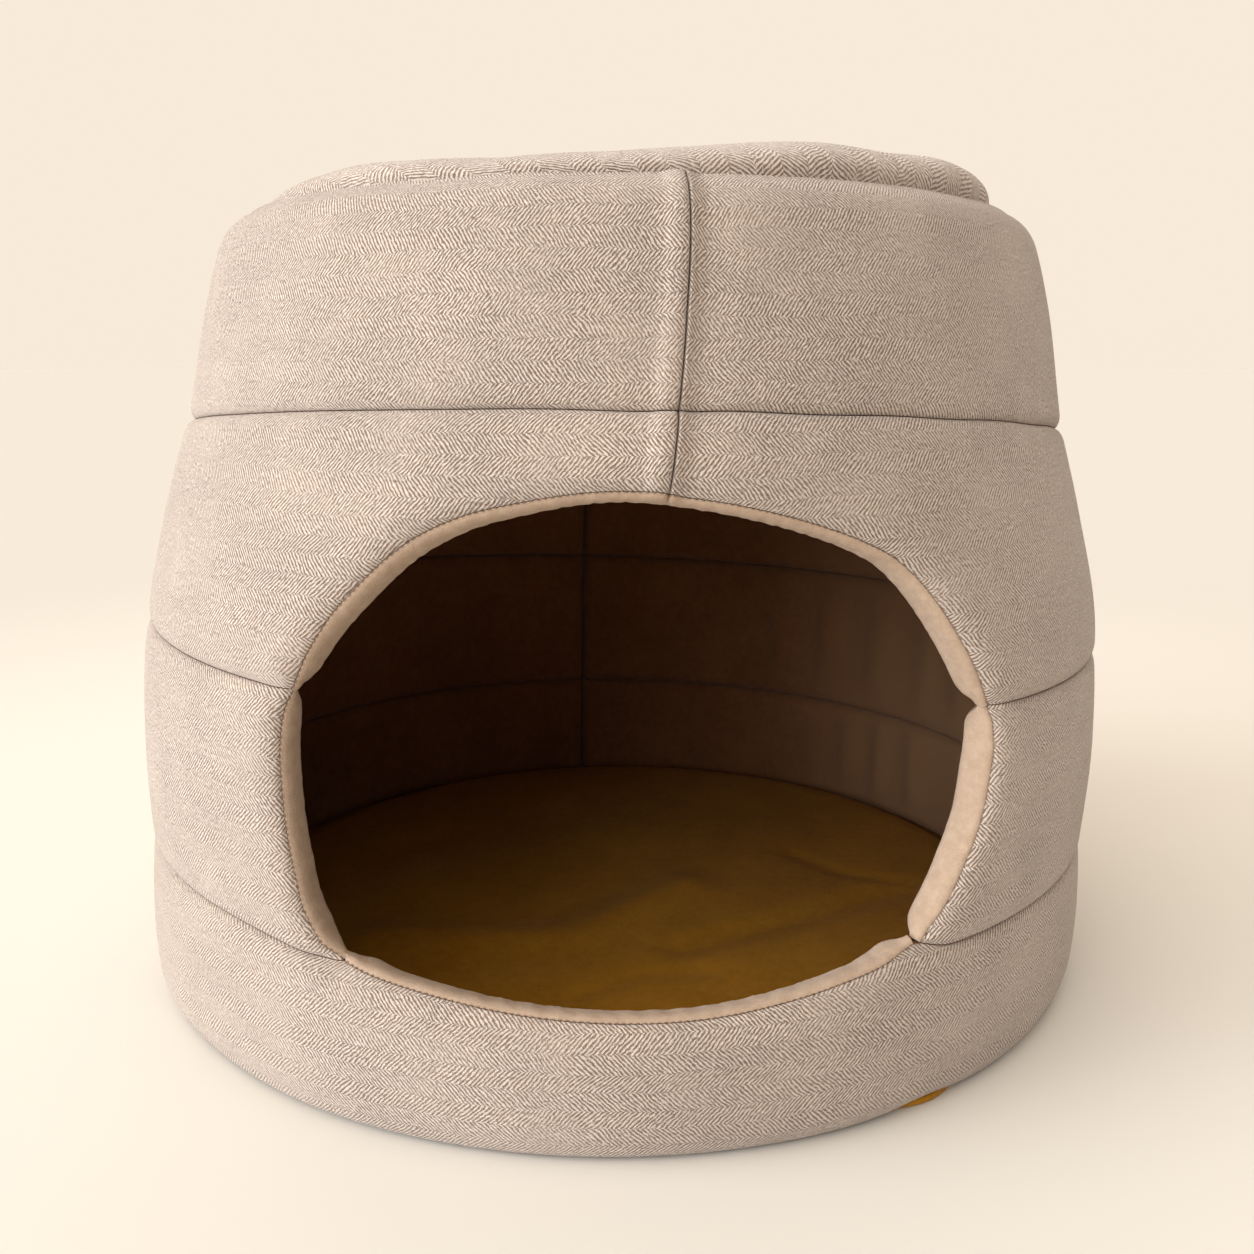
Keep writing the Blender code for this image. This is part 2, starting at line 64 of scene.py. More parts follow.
# The wall's outer face: its radius at each height, between the seams
WALL_PROFILE = (
    # height, radius
    (0.000, 0.2200),
    (0.030, 0.2204),
    (0.068, 0.2198),
    (0.113, 0.2200),
    (0.161, 0.2174),
    (0.208, 0.2065),
    (0.256, 0.1942),
    (0.295, 0.1862),
    (0.320, 0.1795),
    (0.334, 0.1745),
    (0.348, 0.1690),
)
# How far the wall leans towards +X for each metre above the height where it is upright
LEAN = 0.018
UPRIGHT_HEIGHT = 0.113
UPRIGHT_RADIUS = 0.2200
SLOPE_REACH = 0.001

# Heights of the seams between the tiers, with the tilt of each towards +X
SEAM_C = 0.0645
SEAM_C_TILT = -0.0126
SEAM_C_DOOR_DROP = 0.0030
SEAM_C_DOOR_DROP_ANGLE = -28.0
SEAM_C_DOOR_DROP_REACH = 8.0
SEAM_C_CORNER_RISE = 0.0032
SEAM_C_CORNER = 29.6
SEAM_C_CORNER_REACH = 2.6
SEAM_B = 0.1558
SEAM_B_TILT = -0.037
SEAM_B_BACK_DROP = 0.007
SEAM_A = 0.2415
SEAM_A_TILT = -0.010
SEAM_A_FRONT_RISE = 0.0155
RIM = 0.3390
RIM_FRONT_DROP = 0.0030
RIM_SIDE_DROP = 0.0040
SEAM_WANDER = 0.0003
SEAM_WANDER_ROUND = (5, 24)

# The doorway: its arch in tier 2, its jambs in tier 3 and its sill on tier 4
ARCH = (
    # angle, height
    (-33.2, 0.1596),
    (-31.9, 0.1700),
    (-29.9, 0.1830),
    (-26.1, 0.1992),
    (-21.8, 0.2125),
    (-16.9, 0.2215),
    (-10.4, 0.2275),
    (0.0, 0.2315),
    (6.8, 0.2290),
    (12.8, 0.2250),
    (19.0, 0.2190),
    (23.7, 0.2128),
    (27.3, 0.2060),
    (30.5, 0.1955),
    (35.0, 0.1722),
    (38.1, 0.1512),
)
JAMBS = (
    # height, left angle, right angle
    (0.1610, -33.1, 37.4),
    (0.1510, -33.9, 38.2),
    (0.1370, -34.2, 38.8),
    (0.1230, -34.0, 38.2),
    (0.1080, -33.5, 37.1),
    (0.0920, -32.6, 35.1),
    (0.0780, -31.5, 33.0),
    (0.0680, -29.5, 30.9),
    (0.0610, -26.6, 29.3),
)
SILL = (
    # angle, height
    (-27.2, 0.0626),
    (-23.8, 0.0606),
    (-16.8, 0.0572),
    (-10.4, 0.0544),
    (-4.3, 0.0527),
    (1.7, 0.0520),
    (8.8, 0.0527),
    (14.8, 0.0551),
    (21.3, 0.0588),
    (26.5, 0.0626),
    (29.6, 0.0664),
)
ARCH_ENDS = (ARCH[0][0], ARCH[-1][0])
SILL_ENDS = (SILL[0][0], SILL[-1][0])
FLARE_LEFT = 1.7
FLARE_RIGHT = 0.4
FLARE_FADE = 9.0
ARCH_INNER_RISE = 0.0009
ARCH_INNER_SAG = 0.0044
ARCH_INNER_SAG_RIGHT = -0.0008
SILL_INNER_DROP = 0.0040
SILL_DROP_REACH = 0.020
JAMBS_CLEARED = 47.0
DOORWAY_SIDE = 60.0
ACROSS_DOORWAY = 60
DOWN_DOORWAY = 40
DOOR_MIDDLE = (0.0, -0.205, 0.140)

# The sewn edges of the tiers: how deep each rounds away, and how far from the edge it starts
EDGES = {
    # outer depth, outer reach, inner depth, inner reach
    "seam": (0.0034, 0.0060, 0.0062, 0.0090),
    "door": (0.0044, 0.0110, 0.0012, 0.0045),
    "foot": (0.0054, 0.0105, 0.0015, 0.0050),
    "rim": (0.0112, 0.0165, 0.0008, 0.0040),
}
DEEPEST_DENT = 0.0068
FOOT_TUCK = 0.0026
FOOT_TUCK_REACH = 0.0120
FOOT_LIFTED = 0.9
CORNER_PINCH_REACH = 0.008
INNER_CORNER_PINCH = 0.9
# Depths of the foot's hem, turned in under the padding
HEM_DEPTHS = (0.0052, 0.0044)

# Where the seams meet the doorway, the cloth bridges the seam in a drawn-in knuckle
KNUCKLES = (
    # angle, height, bridge length, drawn in, reach, inner face drawn out, its reach
    (-33.3, 0.1596, 0.0100, 0.0010, 0.0090, 0.0026, 0.0070),
    (38.0, 0.1514, 0.0080, 0.0012, 0.0100, 0.0022, 0.0060),
    (-27.4, 0.0626, 0.0060, 0.0016, 0.0100, 0.0008, 0.0080),
    (29.6, 0.0664, 0.0090, 0.0022, 0.0110, 0.0012, 0.0080),
)
KNUCKLE_BRIDGED = 0.85

# How the herringbone is cut: each tier starts at another place of it
WEAVE_OFFSET = 0.0031
WEAVE_RISE = 1.02

# The closing seam down the front of tiers 1 and 2, and the shape of the cloth across it
CLOSING_SEAM = (
    # height, angle
    (0.225, 3.7),
    (0.244, 4.4),
    (0.257, 4.8),
    (0.272, 5.2),
    (0.291, 5.6),
    (0.307, 5.9),
    (0.340, 6.0),
)
CLOSING_SEAM_MIDDLE = 5.0
CLOSING_SEAM_FADE = 13.0
ACROSS_CLOSING_SEAM = (
    # distance to the right of the seam, raise
    (-0.0240, 0.0),
    (-0.0125, 0.00000),
    (-0.0100, 0.00020),
    (-0.0078, 0.00120),
    (-0.0040, 0.00185),
    (-0.0016, 0.00150),
    (-0.0008, 0.00110),
    (-0.0004, 0.00040),
    (0.0000, -0.00180),
    (0.0004, 0.00060),
    (0.0009, 0.00105),
    (0.0018, 0.00070),
    (0.0036, -0.00020),
    (0.0070, -0.00105),
    (0.0110, -0.00080),
    (0.0200, 0.0),
)
BACK_SEAM = -173.5
BACK_SEAM_DEPTH = 0.0075
BACK_SEAM_REACH = 0.0080

# The unevenness of the wall's cloth: fewest and most waves in a full turn, and in a metre of height
DRIFT_ROUND = (3, 17)
DRIFT_UP = (0.0, 9.0)
CREASES_ROUND = (24, 62)
CREASES_UP = (0.0, 2.5)
CREASES_CUT = -0.4
CREASES_FROM = 50.0
GATHERS_ROUND = (200, 330)
GATHER_PATCHES_ROUND = (4, 17)
GATHERS_FADE = 0.0050
GATHERED_MOST = -45.0
GATHERED_REACH = 28.0
GATHERED_LEAST = 0.25

# The roof pad
ROOF_RADIUS = 0.1603
ROOF_SEAM_RADIUS = 0.1590
ROOF_SEAM_DROP = 0.0054
ROOF_EDGE_HEIGHT = 0.0052
ROOF_THICKNESS = 0.0272
ROOF_FULLNESS = 3.2
ROOF_FRONT_FALL = 0.060
ROOF_FALL_EASED = 0.040
ROOF_TILT = 0.037
ROOF_UNDERSIDE_DIP = 0.0022
ROOF_CROWN = (
    # place across the roof, raise
    (-0.160, -0.0030),
    (-0.140, -0.0012),
    (-0.125, 0.0000),
    (-0.105, 0.0012),
    (-0.078, -0.0010),
    (-0.046, -0.0034),
    (-0.014, -0.0036),
    (0.017, -0.0028),
    (0.045, -0.0008),
    (0.070, 0.0002),
    (0.100, -0.0012),
    (0.130, 0.0006),
    (0.160, -0.0034),
)
ROOF_SEATED_FROM = 0.1530
ROOF_WEAVE_HEADING = 70.0
ROOF_WEAVE_SCALE = 0.70
ROOF_WEAVE_START = 0.6
ROOF_SOFT_SCALE = 400.0
ROOF_SOFT_ROUND = (2, 9)
ROOF_PUCKER = 0.0007
ROOF_PUCKERS_ROUND = (60, 150)
ROOF_PUCKER_REACH = 0.10
ROOF_SHIFT = LEAN * (RIM - UPRIGHT_HEIGHT)
# Faces that look down more steeply than this are lined
ROOF_LINED_UNDER = -0.7

# The base panel, and where its cloth shows under the foot
BASE_RADIUS = 0.2092
BASE_SHIFT = 0.0016
BASE_SHOWS = 32.0
BASE_SHOWS_REACH = 5.0
BASE_SHOWS_BY = 0.0058

# The floor cushion, and the folds in its cloth
CUSHION_RADIUS = 0.1905
CUSHION_SIDE = 0.0086
CUSHION_CROWN = 0.0038
CUSHION_SHOULDER = 0.0130
CUSHION_TUCK = 0.0090
CUSHION_RIPPLE = 0.0007
CUSHION_RIPPLES = (
    # waves towards +X and +Y, in radians for each metre, and how high beside the first
    (34.0, 17.0, 1.0),
    (-21.0, 52.0, 0.6),
)
CUSHION_SOFT = 0.0005
CUSHION_SOFT_SCALE = 260.0
CUSHION_SOFT_ROUND = (1, 4)
CUSHION_FOLDS = (
    # raised by, reach, where it runs
    (-0.0013, 0.0055, ((-0.0194, -0.1253), (0.0081, -0.1063), (0.0369, -0.1045))),
    (-0.0015, 0.0060, ((0.0944, 0.0258), (0.1143, 0.0031), (0.1462, -0.0058))),
    (-0.0024, 0.0090, ((0.1379, -0.0181), (0.0985, -0.0468), (0.0537, -0.0711), (0.0281, -0.0830))),
    (0.0040, 0.0150, (
        (-0.1097, -0.0708),
        (-0.0582, -0.0770),
        (-0.0217, -0.0719),
        (0.0063, -0.0445),
        (0.0316, -0.0207),
    )),
)

# How far to the right of the middle the lining's painted light starts, and is at its full: the lining is
# painted paler there, standing in for the light that falls through the doorway on the right inner wall
LINING_PAINTED_LIGHT_SPAN = (0.075, 0.195)

# Soft folds of the outer cloth beside the doorway's corners
FOLDS = (
    # angle, height, heading in degrees anticlockwise from +X, length, half width, raise
    (-33.0, 0.1640, 140.0, 0.012, 0.0016, 0.0009),
    (-33.3, 0.1560, 215.0, 0.012, 0.0017, 0.0008),
    (37.6, 0.1560, 60.0, 0.013, 0.0018, 0.0008),
    (38.0, 0.1470, -45.0, 0.011, 0.0016, 0.0007),
    (-28.2, 0.0660, 160.0, 0.012, 0.0015, 0.0008),
    (-28.0, 0.0590, 205.0, 0.014, 0.0017, 0.0007),
    (29.2, 0.0660, 12.0, 0.013, 0.0014, 0.0010),
    (29.0, 0.0625, -6.0, 0.012, 0.0012, 0.0009),
    (28.6, 0.0590, -28.0, 0.015, 0.0017, 0.0008),
)

# Steps of the meshes
COLUMN_STEP = 0.5
FINE_STEP = 0.25
LINING_STEP = 0.9
EDGE_ROWS = (0.0, 0.0003, 0.0008, 0.0015, 0.0024, 0.0035, 0.0048, 0.0064, 0.0085, 0.0110)
MIDDLE_ROW = 0.0030
INNER_ROW = 0.0100
CLOSING_SEAM_COLUMNS = (0.0, 0.0004, 0.0007, 0.0011, 0.0017, 0.0024, 0.0034, 0.0048, 0.0066, 0.0086)
BACK_SEAM_COLUMNS = (0.0004, 0.0013, 0.0030, 0.0055, 0.0080)
CORNER_COLUMNS = 24
JAMB_WIDTH = 14.0
JAMB_COLUMNS_EASED = 1.6
TIER_HEIGHTS = {1: 0.090, 2: 0.090, 3: 0.091, 4: 0.062}
TURNS = 300
SHARP_FROM = 60.0
HALF_TURN = 180.0
FULL_TURN = 360.0


def length_setting(name, description, default):
    """A length that the panel shows."""
    return bpy.props.FloatProperty(
        name=name, description=description, default=default, unit="LENGTH", precision=5
    )


def share_setting(name, description, default):
    """A share from 0 to 1 that the panel shows."""
    return bpy.props.FloatProperty(
        name=name, description=description, default=default, min=0.0, max=1.0, subtype="FACTOR"
    )


def colour_setting(name, description, default):
    """A linear colour that the panel shows."""
    return bpy.props.FloatVectorProperty(
        name=name, description=description, default=default, size=3, min=0.0, max=1.0, subtype="COLOR"
    )


def angle_setting(name, description, degrees):
    """An angle that the panel shows."""
    return bpy.props.FloatProperty(
        name=name, description=description, default=math.radians(degrees), subtype="ANGLE"
    )


def number_setting(name, description, default):
    """A plain number that the panel shows."""
    return bpy.props.FloatProperty(name=name, description=description, default=default)


class CaveHerringboneSettings(bpy.types.PropertyGroup):
    """The outer cloth."""

    stripe: length_setting("Stripe", "Height of one slanted row of the herringbone", 0.0072)
    twill: length_setting("Twill pitch", "Distance between slanted lines along a row", 0.0017)
    relief: length_setting("Relief", "How far the lines stand proud of the ground", 0.0003)
    ground: colour_setting("Ground", "Colour between the slanted lines", (0.230, 0.148, 0.108))
    line: colour_setting("Line", "Colour of the slanted lines", (0.650, 0.556, 0.487))
    uneven: share_setting("Unevenness", "How much the yarn varies in tone", 0.35)


class CaveLiningSettings(bpy.types.PropertyGroup):
    """The lining, the facing and the cushion's cloth."""

    lining: colour_setting("Lining", "Colour of the brushed lining", (0.160, 0.066, 0.026))
    lining_worn: colour_setting("Lining nap", "Where its nap lies the other way", (0.228, 0.099, 0.040))
    # painted light: this paler lining colour, faded in towards the right, stands in for the light falling
    # through the doorway on the right inner wall
    lining_painted_light: colour_setting("Lining right", "Where the lining pales at the right", (0.345, 0.190, 0.096))
    facing: colour_setting("Facing", "Colour of the plain facing strips", (0.412, 0.296, 0.215))
    facing_light: colour_setting("Facing nap", "Colour of the facing's raised nap", (0.500, 0.370, 0.275))
    cushion: colour_setting("Cushion", "Colour of the floor cushion", (0.325, 0.141, 0.006))
    cushion_light: colour_setting("Cushion nap", "Colour of the cushion's raised nap", (0.448, 0.209, 0.015))


class CaveSewingSettings(bpy.types.PropertyGroup):
    """How the pieces are sewn and filled."""

    fullness: length_setting("Fullness", "How far a tier swells between its seams", 0.0012)
    gathers: length_setting("Gathers", "Depth of the small gathers along the upper seam", 0.00032)
    drift: length_setting("Drift", "Height of the broad unevenness of the padding", 0.0006)
    stitch: length_setting("Stitch pitch", "Distance from one facing stitch to the next", 0.0024)
    thread: length_setting("Thread", "Thickness of the sewing thread", 0.00034)
    crease: length_setting("Lining crease", "Depth of the lining's soft upright creases", 0.0024)


class CaveStageSettings(bpy.types.PropertyGroup):
    """The floor, the light and the camera."""

    surround: colour_setting("Surround", "Colour of the even light all round", (0.939, 0.823, 0.687))
    # painted light: the floor is painted paler by the bed than away from it, lifting the shade that the bed
    # casts around itself
    floor: colour_setting("Floor", "Colour of the floor by the bed", (0.745, 0.725, 0.686))
    floor_away: colour_setting("Floor away", "Colour of the floor away from the bed", (0.640, 0.618, 0.582))
    sun: number_setting("Key strength", "Strength of the key light", 4.5)
    sun_colour: colour_setting("Key colour", "Colour of the key light", (0.91, 0.96, 1.0))
    softness: angle_setting("Key softness", "Angle that the key light fills", 50)
    fill: number_setting("Fill strength", "Strength of the light that reaches in at the doorway", 1.12)
    fill_softness: angle_setting("Fill softness", "Angle that the fill light fills", 44)
    overhead: number_setting("Overhead", "How much more light comes from above than from behind", 0.78)
    lens: bpy.props.FloatProperty(
        name="Lens", description="The camera's focal length in millimetres", default=36.0, unit="CAMERA"
    )


class CaveBedSettings(bpy.types.PropertyGroup):
    """All that the operators read."""

    herringbone: bpy.props.PointerProperty(type=CaveHerringboneSettings)
    cloths: bpy.props.PointerProperty(type=CaveLiningSettings)
    sewing: bpy.props.PointerProperty(type=CaveSewingSettings)
    stage: bpy.props.PointerProperty(type=CaveStageSettings)


def along(rows, x, column=1):
    """A smooth curve through a table's rows, read at x, which may be an array."""
    table = np.array(sorted(rows))
    xs = table[:, 0]
    ys = table[:, column]
    slopes = np.gradient(ys, xs)
    x = np.clip(x, xs[0], xs[-1])
    i = np.clip(np.searchsorted(xs, x, side="right") - 1, 0, len(xs) - 2)
    width = xs[i + 1] - xs[i]
    t = (x - xs[i]) / width
    start = (1 + 2 * t) * (1 - t) ** 2 * ys[i] + t * (1 - t) ** 2 * width * slopes[i]
    end = t * t * (3 - 2 * t) * ys[i + 1] + t * t * (t - 1) * width * slopes[i + 1]
    return start + end


def wrap(angle):
    """The same angle between -180 and 180."""
    return (angle + HALF_TURN) % FULL_TURN - HALF_TURN


def arc(angle):
    """The distance round the unrolled wall from the front."""
    return np.radians(angle) * UPRIGHT_RADIUS


def waves(angle, height, seed, rounds, rises, count=7):
    """Gentle unevenness, mostly between -1 and 1, that joins up round the cave.

    rounds gives the fewest and the most waves in a full turn, and rises the same for a metre of height.
    """
    draw = np.random.default_rng(seed)
    total = 0.0
    for _ in range(count):
        turns = draw.integers(rounds[0], rounds[1] + 1)
        rise = draw.uniform(rises[0], rises[1]) * draw.choice((-1.0, 1.0))
        phase = draw.uniform(0.0, 2.0 * math.pi)
        total = total + np.sin(turns * np.radians(angle) + 2.0 * math.pi * rise * height + phase)
    return total / math.sqrt(2.0 * count)


def waves_round(angle, seed, rounds, count=7):
    """The same unevenness, without a change in height."""
    return waves(angle, 0.0, seed, rounds, (0.0, 0.0), count)


def bump(distance, reach):
    """1 at no distance, falling off smoothly to nothing."""
    return np.exp(-((distance / reach) ** 2))


def wander(angle, seed):
    """How far a seam strays from its line."""
    return SEAM_WANDER * waves_round(angle, seed, SEAM_WANDER_ROUND)


def side(angle):
    """How far to the right a place on the wall lies."""
    return UPRIGHT_RADIUS * np.sin(np.radians(angle))


def frontness(angle):
    """1 at the front and 0 from the sides to the back."""
    return np.maximum(0.0, np.cos(np.radians(angle)))


def backness(angle):
    """1 at the back and 0 from the sides to the front."""
    return np.maximum(0.0, -np.cos(np.radians(angle)))


def seam_c(angle):
    """The height of the seam between tiers 3 and 4."""
    beside_door = SEAM_C_DOOR_DROP * bump(wrap(angle) - SEAM_C_DOOR_DROP_ANGLE, SEAM_C_DOOR_DROP_REACH)
    at_corner = SEAM_C_CORNER_RISE * bump(wrap(angle) - SEAM_C_CORNER, SEAM_C_CORNER_REACH)
    return SEAM_C + SEAM_C_TILT * side(angle) - beside_door + at_corner


def seam_b(angle):
    """The height of the seam between tiers 2 and 3."""
    return SEAM_B + SEAM_B_TILT * side(angle) - SEAM_B_BACK_DROP * backness(angle)


def seam_a(angle):
    """The height of the seam between tiers 1 and 2."""
    return SEAM_A + SEAM_A_TILT * side(angle) + SEAM_A_FRONT_RISE * frontness(angle) + wander(angle, 3)


def rim(angle):
    """The height of the wall's top edge."""
    sides = np.sin(np.radians(angle)) ** 2
    return RIM - RIM_FRONT_DROP * frontness(angle) - RIM_SIDE_DROP * sides + wander(angle, 4)


def foot(angle):
    """The height of the wall's lower edge."""
    return BASE + SEAT + 0.0 * angle


def jamb(height, right):
    """The doorway's angle at a height beside tier 3."""
    return along(JAMBS, height, 2 if right else 1)


def between(angle, ends):
    """Whether an angle lies inside the doorway's ends."""
    return (angle > ends[0]) & (angle < ends[1])


def under_tier_2(angle):
    """Seam B, or the arch where the doorway is."""
    return np.where(between(angle, ARCH_ENDS), along(ARCH, angle), seam_b(angle))


def top_of_tier_4(angle):
    """Seam C, or the sill where the doorway is."""
    return np.where(between(angle, SILL_ENDS), along(SILL, angle), seam_c(angle))


def arch_inner_rise(angle):
    """How much higher the arch's inner edge lies than its outer one; at its shoulders it lies lower."""
    share = (along(ARCH, angle) - ARCH[0][1]) / (max(row[1] for row in ARCH) - ARCH[0][1])
    share = np.clip(share, 0.0, 1.0)
    sag = np.where(angle < 0.0, ARCH_INNER_SAG, ARCH_INNER_SAG_RIGHT)
    rise = ARCH_INNER_RISE * share * share - 4.0 * sag * share * (1.0 - share)
    return np.where(between(angle, ARCH_ENDS), rise, 0.0)


def sill_inner_drop(angle):
    """How much lower the sill's inner edge lies than its outer one."""
    inside = np.minimum(angle - SILL_ENDS[0], SILL_ENDS[1] - angle)
    return SILL_INNER_DROP * np.clip(arc(inside) / SILL_DROP_REACH, 0.0, 1.0)


def wall_point(angle, height, depth):
    """The places at these angles, outer heights and depths, square to the wall's outer face."""
    radius = along(WALL_PROFILE, height)
    beyond = along(WALL_PROFILE, height + SLOPE_REACH)
    slope = (beyond - along(WALL_PROFILE, height - SLOPE_REACH)) / (2 * SLOPE_REACH)
    length = np.hypot(1.0, slope)
    radius = radius - depth / length
    height = height + depth * slope / length
    turn = np.radians(angle)
    shift = LEAN * (height - UPRIGHT_HEIGHT)
    return np.stack((radius * np.sin(turn) + shift, -radius * np.cos(turn), height), axis=-1)


def rounding(distance, reach):
    """1 on a sewn edge, falling to 0 along a quarter circle at the reach."""
    inside = np.clip(1.0 - distance / reach, 0.0, 1.0)
    return 1.0 - np.sqrt(1.0 - inside * inside)


def no_deeper(depth, deepest):
    """The depth, held softly under the deepest."""
    return depth / (1.0 + (np.maximum(depth, 0.0) / deepest) ** 6) ** (1.0 / 6.0)


def flare_at(angle, ends):
    """How much farther round the doorway's inner edge lies than its outer one; it fades past the corners."""
    left, right = ends
    inside = np.where(angle < 0.0, -FLARE_LEFT * angle / left, FLARE_RIGHT * angle / right)
    past_left = -FLARE_LEFT * np.clip(1.0 - (left - angle) / FLARE_FADE, 0.0, 1.0)
    past_right = FLARE_RIGHT * np.clip(1.0 - (angle - right) / FLARE_FADE, 0.0, 1.0)
    return np.where(angle < left, past_left, np.where(angle > right, past_right, inside))


def doorway_edge(inner):
    """The doorway's edge on the unrolled wall, all the way round, as distances and heights."""
    share = np.linspace(0.0, 1.0, ACROSS_DOORWAY)
    arch = ARCH_ENDS[0] + (ARCH_ENDS[1] - ARCH_ENDS[0]) * share
    sill = SILL_ENDS[1] + (SILL_ENDS[0] - SILL_ENDS[1]) * share
    right = np.linspace(ARCH[-1][1], SILL[-1][1], DOWN_DOORWAY)
    left = np.linspace(SILL[0][1], ARCH[0][1], DOWN_DOORWAY)
    arch_height = along(ARCH, arch)
    sill_height = along(SILL, sill)
    right_angle = jamb(right, True)
    left_angle = jamb(left, False)
    if inner:
        arch_height = arch_height + arch_inner_rise(arch)
        sill_height = sill_height - sill_inner_drop(sill)
        arch = arch + flare_at(arch, ARCH_ENDS)
        sill = sill + flare_at(sill, SILL_ENDS)
        right_angle = right_angle + FLARE_RIGHT
        left_angle = left_angle - FLARE_LEFT
    angles = np.concatenate((arch, right_angle, sill, left_angle))
    heights = np.concatenate((arch_height, right, sill_height, left))
    return np.stack((arc(angles), heights), axis=-1)


def from_lines(points, starts, ends):
    """Each point's distance to the nearest of the lines between the starts and the ends."""
    best = np.full(len(points), 1.0)
    for start, end in zip(starts, ends):
        run = end - start
        square = max(float(run @ run), 1e-16)
        t = np.clip(((points - start) @ run) / square, 0.0, 1.0)
        best = np.minimum(best, np.hypot(*(points - start - t[:, None] * run).T))
    return best


def from_doorway(angle, height, inner=False):
    """The distance along the wall to the doorway's edge, or a large one away from the front."""
    far = np.full(np.shape(angle), 1.0)
    near = np.abs(angle) < DOORWAY_SIDE
    points = np.stack((arc(angle[near]), height[near]), axis=-1)
    edge = doorway_edge(inner)
    far[near] = from_lines(points, edge, np.roll(edge, -1, axis=0))
    return far


def from_seam(angle, height, seam, ends=None):
    """The distance along the wall to a seam, which stops at the doorway's ends where it has them."""
    if ends is None:
        return np.abs(height - seam(angle))
    inside = between(angle, ends)
    nearer = np.where(angle > sum(ends) / 2.0, ends[1], ends[0])
    gap = np.where(inside, np.abs(arc(angle - nearer)), 0.0)
    return np.hypot(gap, height - seam(np.where(inside, nearer, angle)))


def knuckle_bridge(angle, height):
    """How much of a seam's groove is left close to the doorway, and how far the cloth draws in there."""
    left = 1.0
    drawn = 0.0
    for at_angle, at_height, bridge, depth, reach, _, _ in KNUCKLES:
        away = np.hypot(arc(angle - at_angle), height - at_height)
        left = left * (1.0 - KNUCKLE_BRIDGED * bump(away, bridge))
        drawn = drawn + depth * bump(away, reach)
    return left, drawn


def folds(angle, height):
    """The soft folds beside the doorway's corners."""
    total = 0.0
    for at_angle, at_height, heading, length, half_width, raised in FOLDS:
        heading = math.radians(heading)
        x = arc(angle - at_angle)
        y = height - at_height
        forward = x * math.cos(heading) + y * math.sin(heading)
        across = -x * math.sin(heading) + y * math.cos(heading)
        middle = length / 2.0
        total = total + raised * bump(across, half_width) * bump(forward - middle, middle)
    return total


def closing_seam_raise(angle, height):
    """The cloth's height across the closing seam: a low ridge over the allowances with a groove in it."""
    distance = arc(angle - along(CLOSING_SEAM, height))
    return along(ACROSS_CLOSING_SEAM, distance)


def gathers(angle, seed):
    """Small gathers along a seam, drawn up more on the left of the front."""
    fine = waves_round(angle, seed, GATHERS_ROUND, 9)
    patches = 0.5 + 0.5 * waves_round(angle, seed + 1, GATHER_PATCHES_ROUND)
    drawn_up = GATHERED_LEAST + (1.0 - GATHERED_LEAST) * bump(angle - GATHERED_MOST, GATHERED_REACH)
    return fine * np.clip(patches, 0.0, 1.0) * drawn_up


TIERS = {
    # lower edge, upper edge: its kind, its line, and the doorway's ends where it stops there
    1: (("seam", seam_a, None), ("rim", rim, None)),
    2: (("seam", seam_b, ARCH_ENDS), ("seam", seam_a, None)),
    3: (("seam", seam_c, SILL_ENDS), ("seam", seam_b, ARCH_ENDS)),
    4: (("foot", foot, None), ("seam", seam_c, SILL_ENDS)),
}


def outer_depth(number, angle, height, share, sewing):
    """How deep each place of a tier's outer cloth lies; share is its share of the way up the tier."""
    bridge, drawn = knuckle_bridge(angle, height)
    depth = 0.0
    gather = 0.0
    for kind, line, ends in TIERS[number]:
        distance = from_seam(angle, height, line, ends)
        most, reach = EDGES[kind][:2]
        depth = depth + most * rounding(distance, reach) * (bridge if kind == "seam" else 1.0)
        if line is seam_a:
            gather = gather + sewing.gathers * gathers(angle, 20 + number) * np.exp(-distance / GATHERS_FADE)
    if number > 1:
        most, reach = EDGES["door"][:2]
        depth = depth + most * rounding(from_doorway(angle, height), reach) + drawn
    depth = no_deeper(depth, DEEPEST_DENT) + gather
    if number > 1:
        depth = depth - folds(angle, height)
    if number < 3:
        depth = depth - closing_seam_raise(angle, height)
    swell = 4.0 * share * (1.0 - share)
    drift = waves(angle, height, 40 + number, DRIFT_ROUND, DRIFT_UP)
    return depth - sewing.fullness * swell - sewing.drift * drift * np.sqrt(swell)


def inner_depth(number, angle, height, share, sewing):
    """How deep each place of a tier's inner face lies, where the lining is seated."""
    drawn_in = 0.0
    for kind, line, ends in TIERS[number]:
        most, reach = EDGES[kind][2:]
        amount = most * rounding(from_seam(angle, height, line, ends), reach)
        if ends is not None:
            corner = np.minimum(np.abs(arc(angle - ends[0])), np.abs(arc(angle - ends[1])))
            amount = amount * (1.0 + INNER_CORNER_PINCH * bump(corner, CORNER_PINCH_REACH))
        drawn_in = drawn_in + amount
    if number > 1:
        most, reach = EDGES["door"][2:]
        drawn_in = drawn_in + most * rounding(from_doorway(angle, height, True), reach)
    swell = np.clip(4.0 * share * (1.0 - share), 0.0, 1.0)
    away_from_door = 1.0 - bump(angle, CREASES_FROM)
    creases = waves(angle, height, 60 + number, CREASES_ROUND, CREASES_UP, 5)
    soft = np.clip(creases, CREASES_CUT, 1.0) * swell * away_from_door
    back = BACK_SEAM_DEPTH * rounding(np.abs(arc(wrap(angle - BACK_SEAM))), BACK_SEAM_REACH)
    drawn_in = no_deeper(drawn_in, DEEPEST_DENT)
    for at_angle, at_height, _, _, _, depth, reach in KNUCKLES:
        at_angle = at_angle + (FLARE_RIGHT if at_angle > 0.0 else -FLARE_LEFT)
        drawn_in = drawn_in + depth * bump(np.hypot(arc(angle - at_angle), height - at_height), reach)
    return WALL - drawn_in - back + sewing.crease * soft


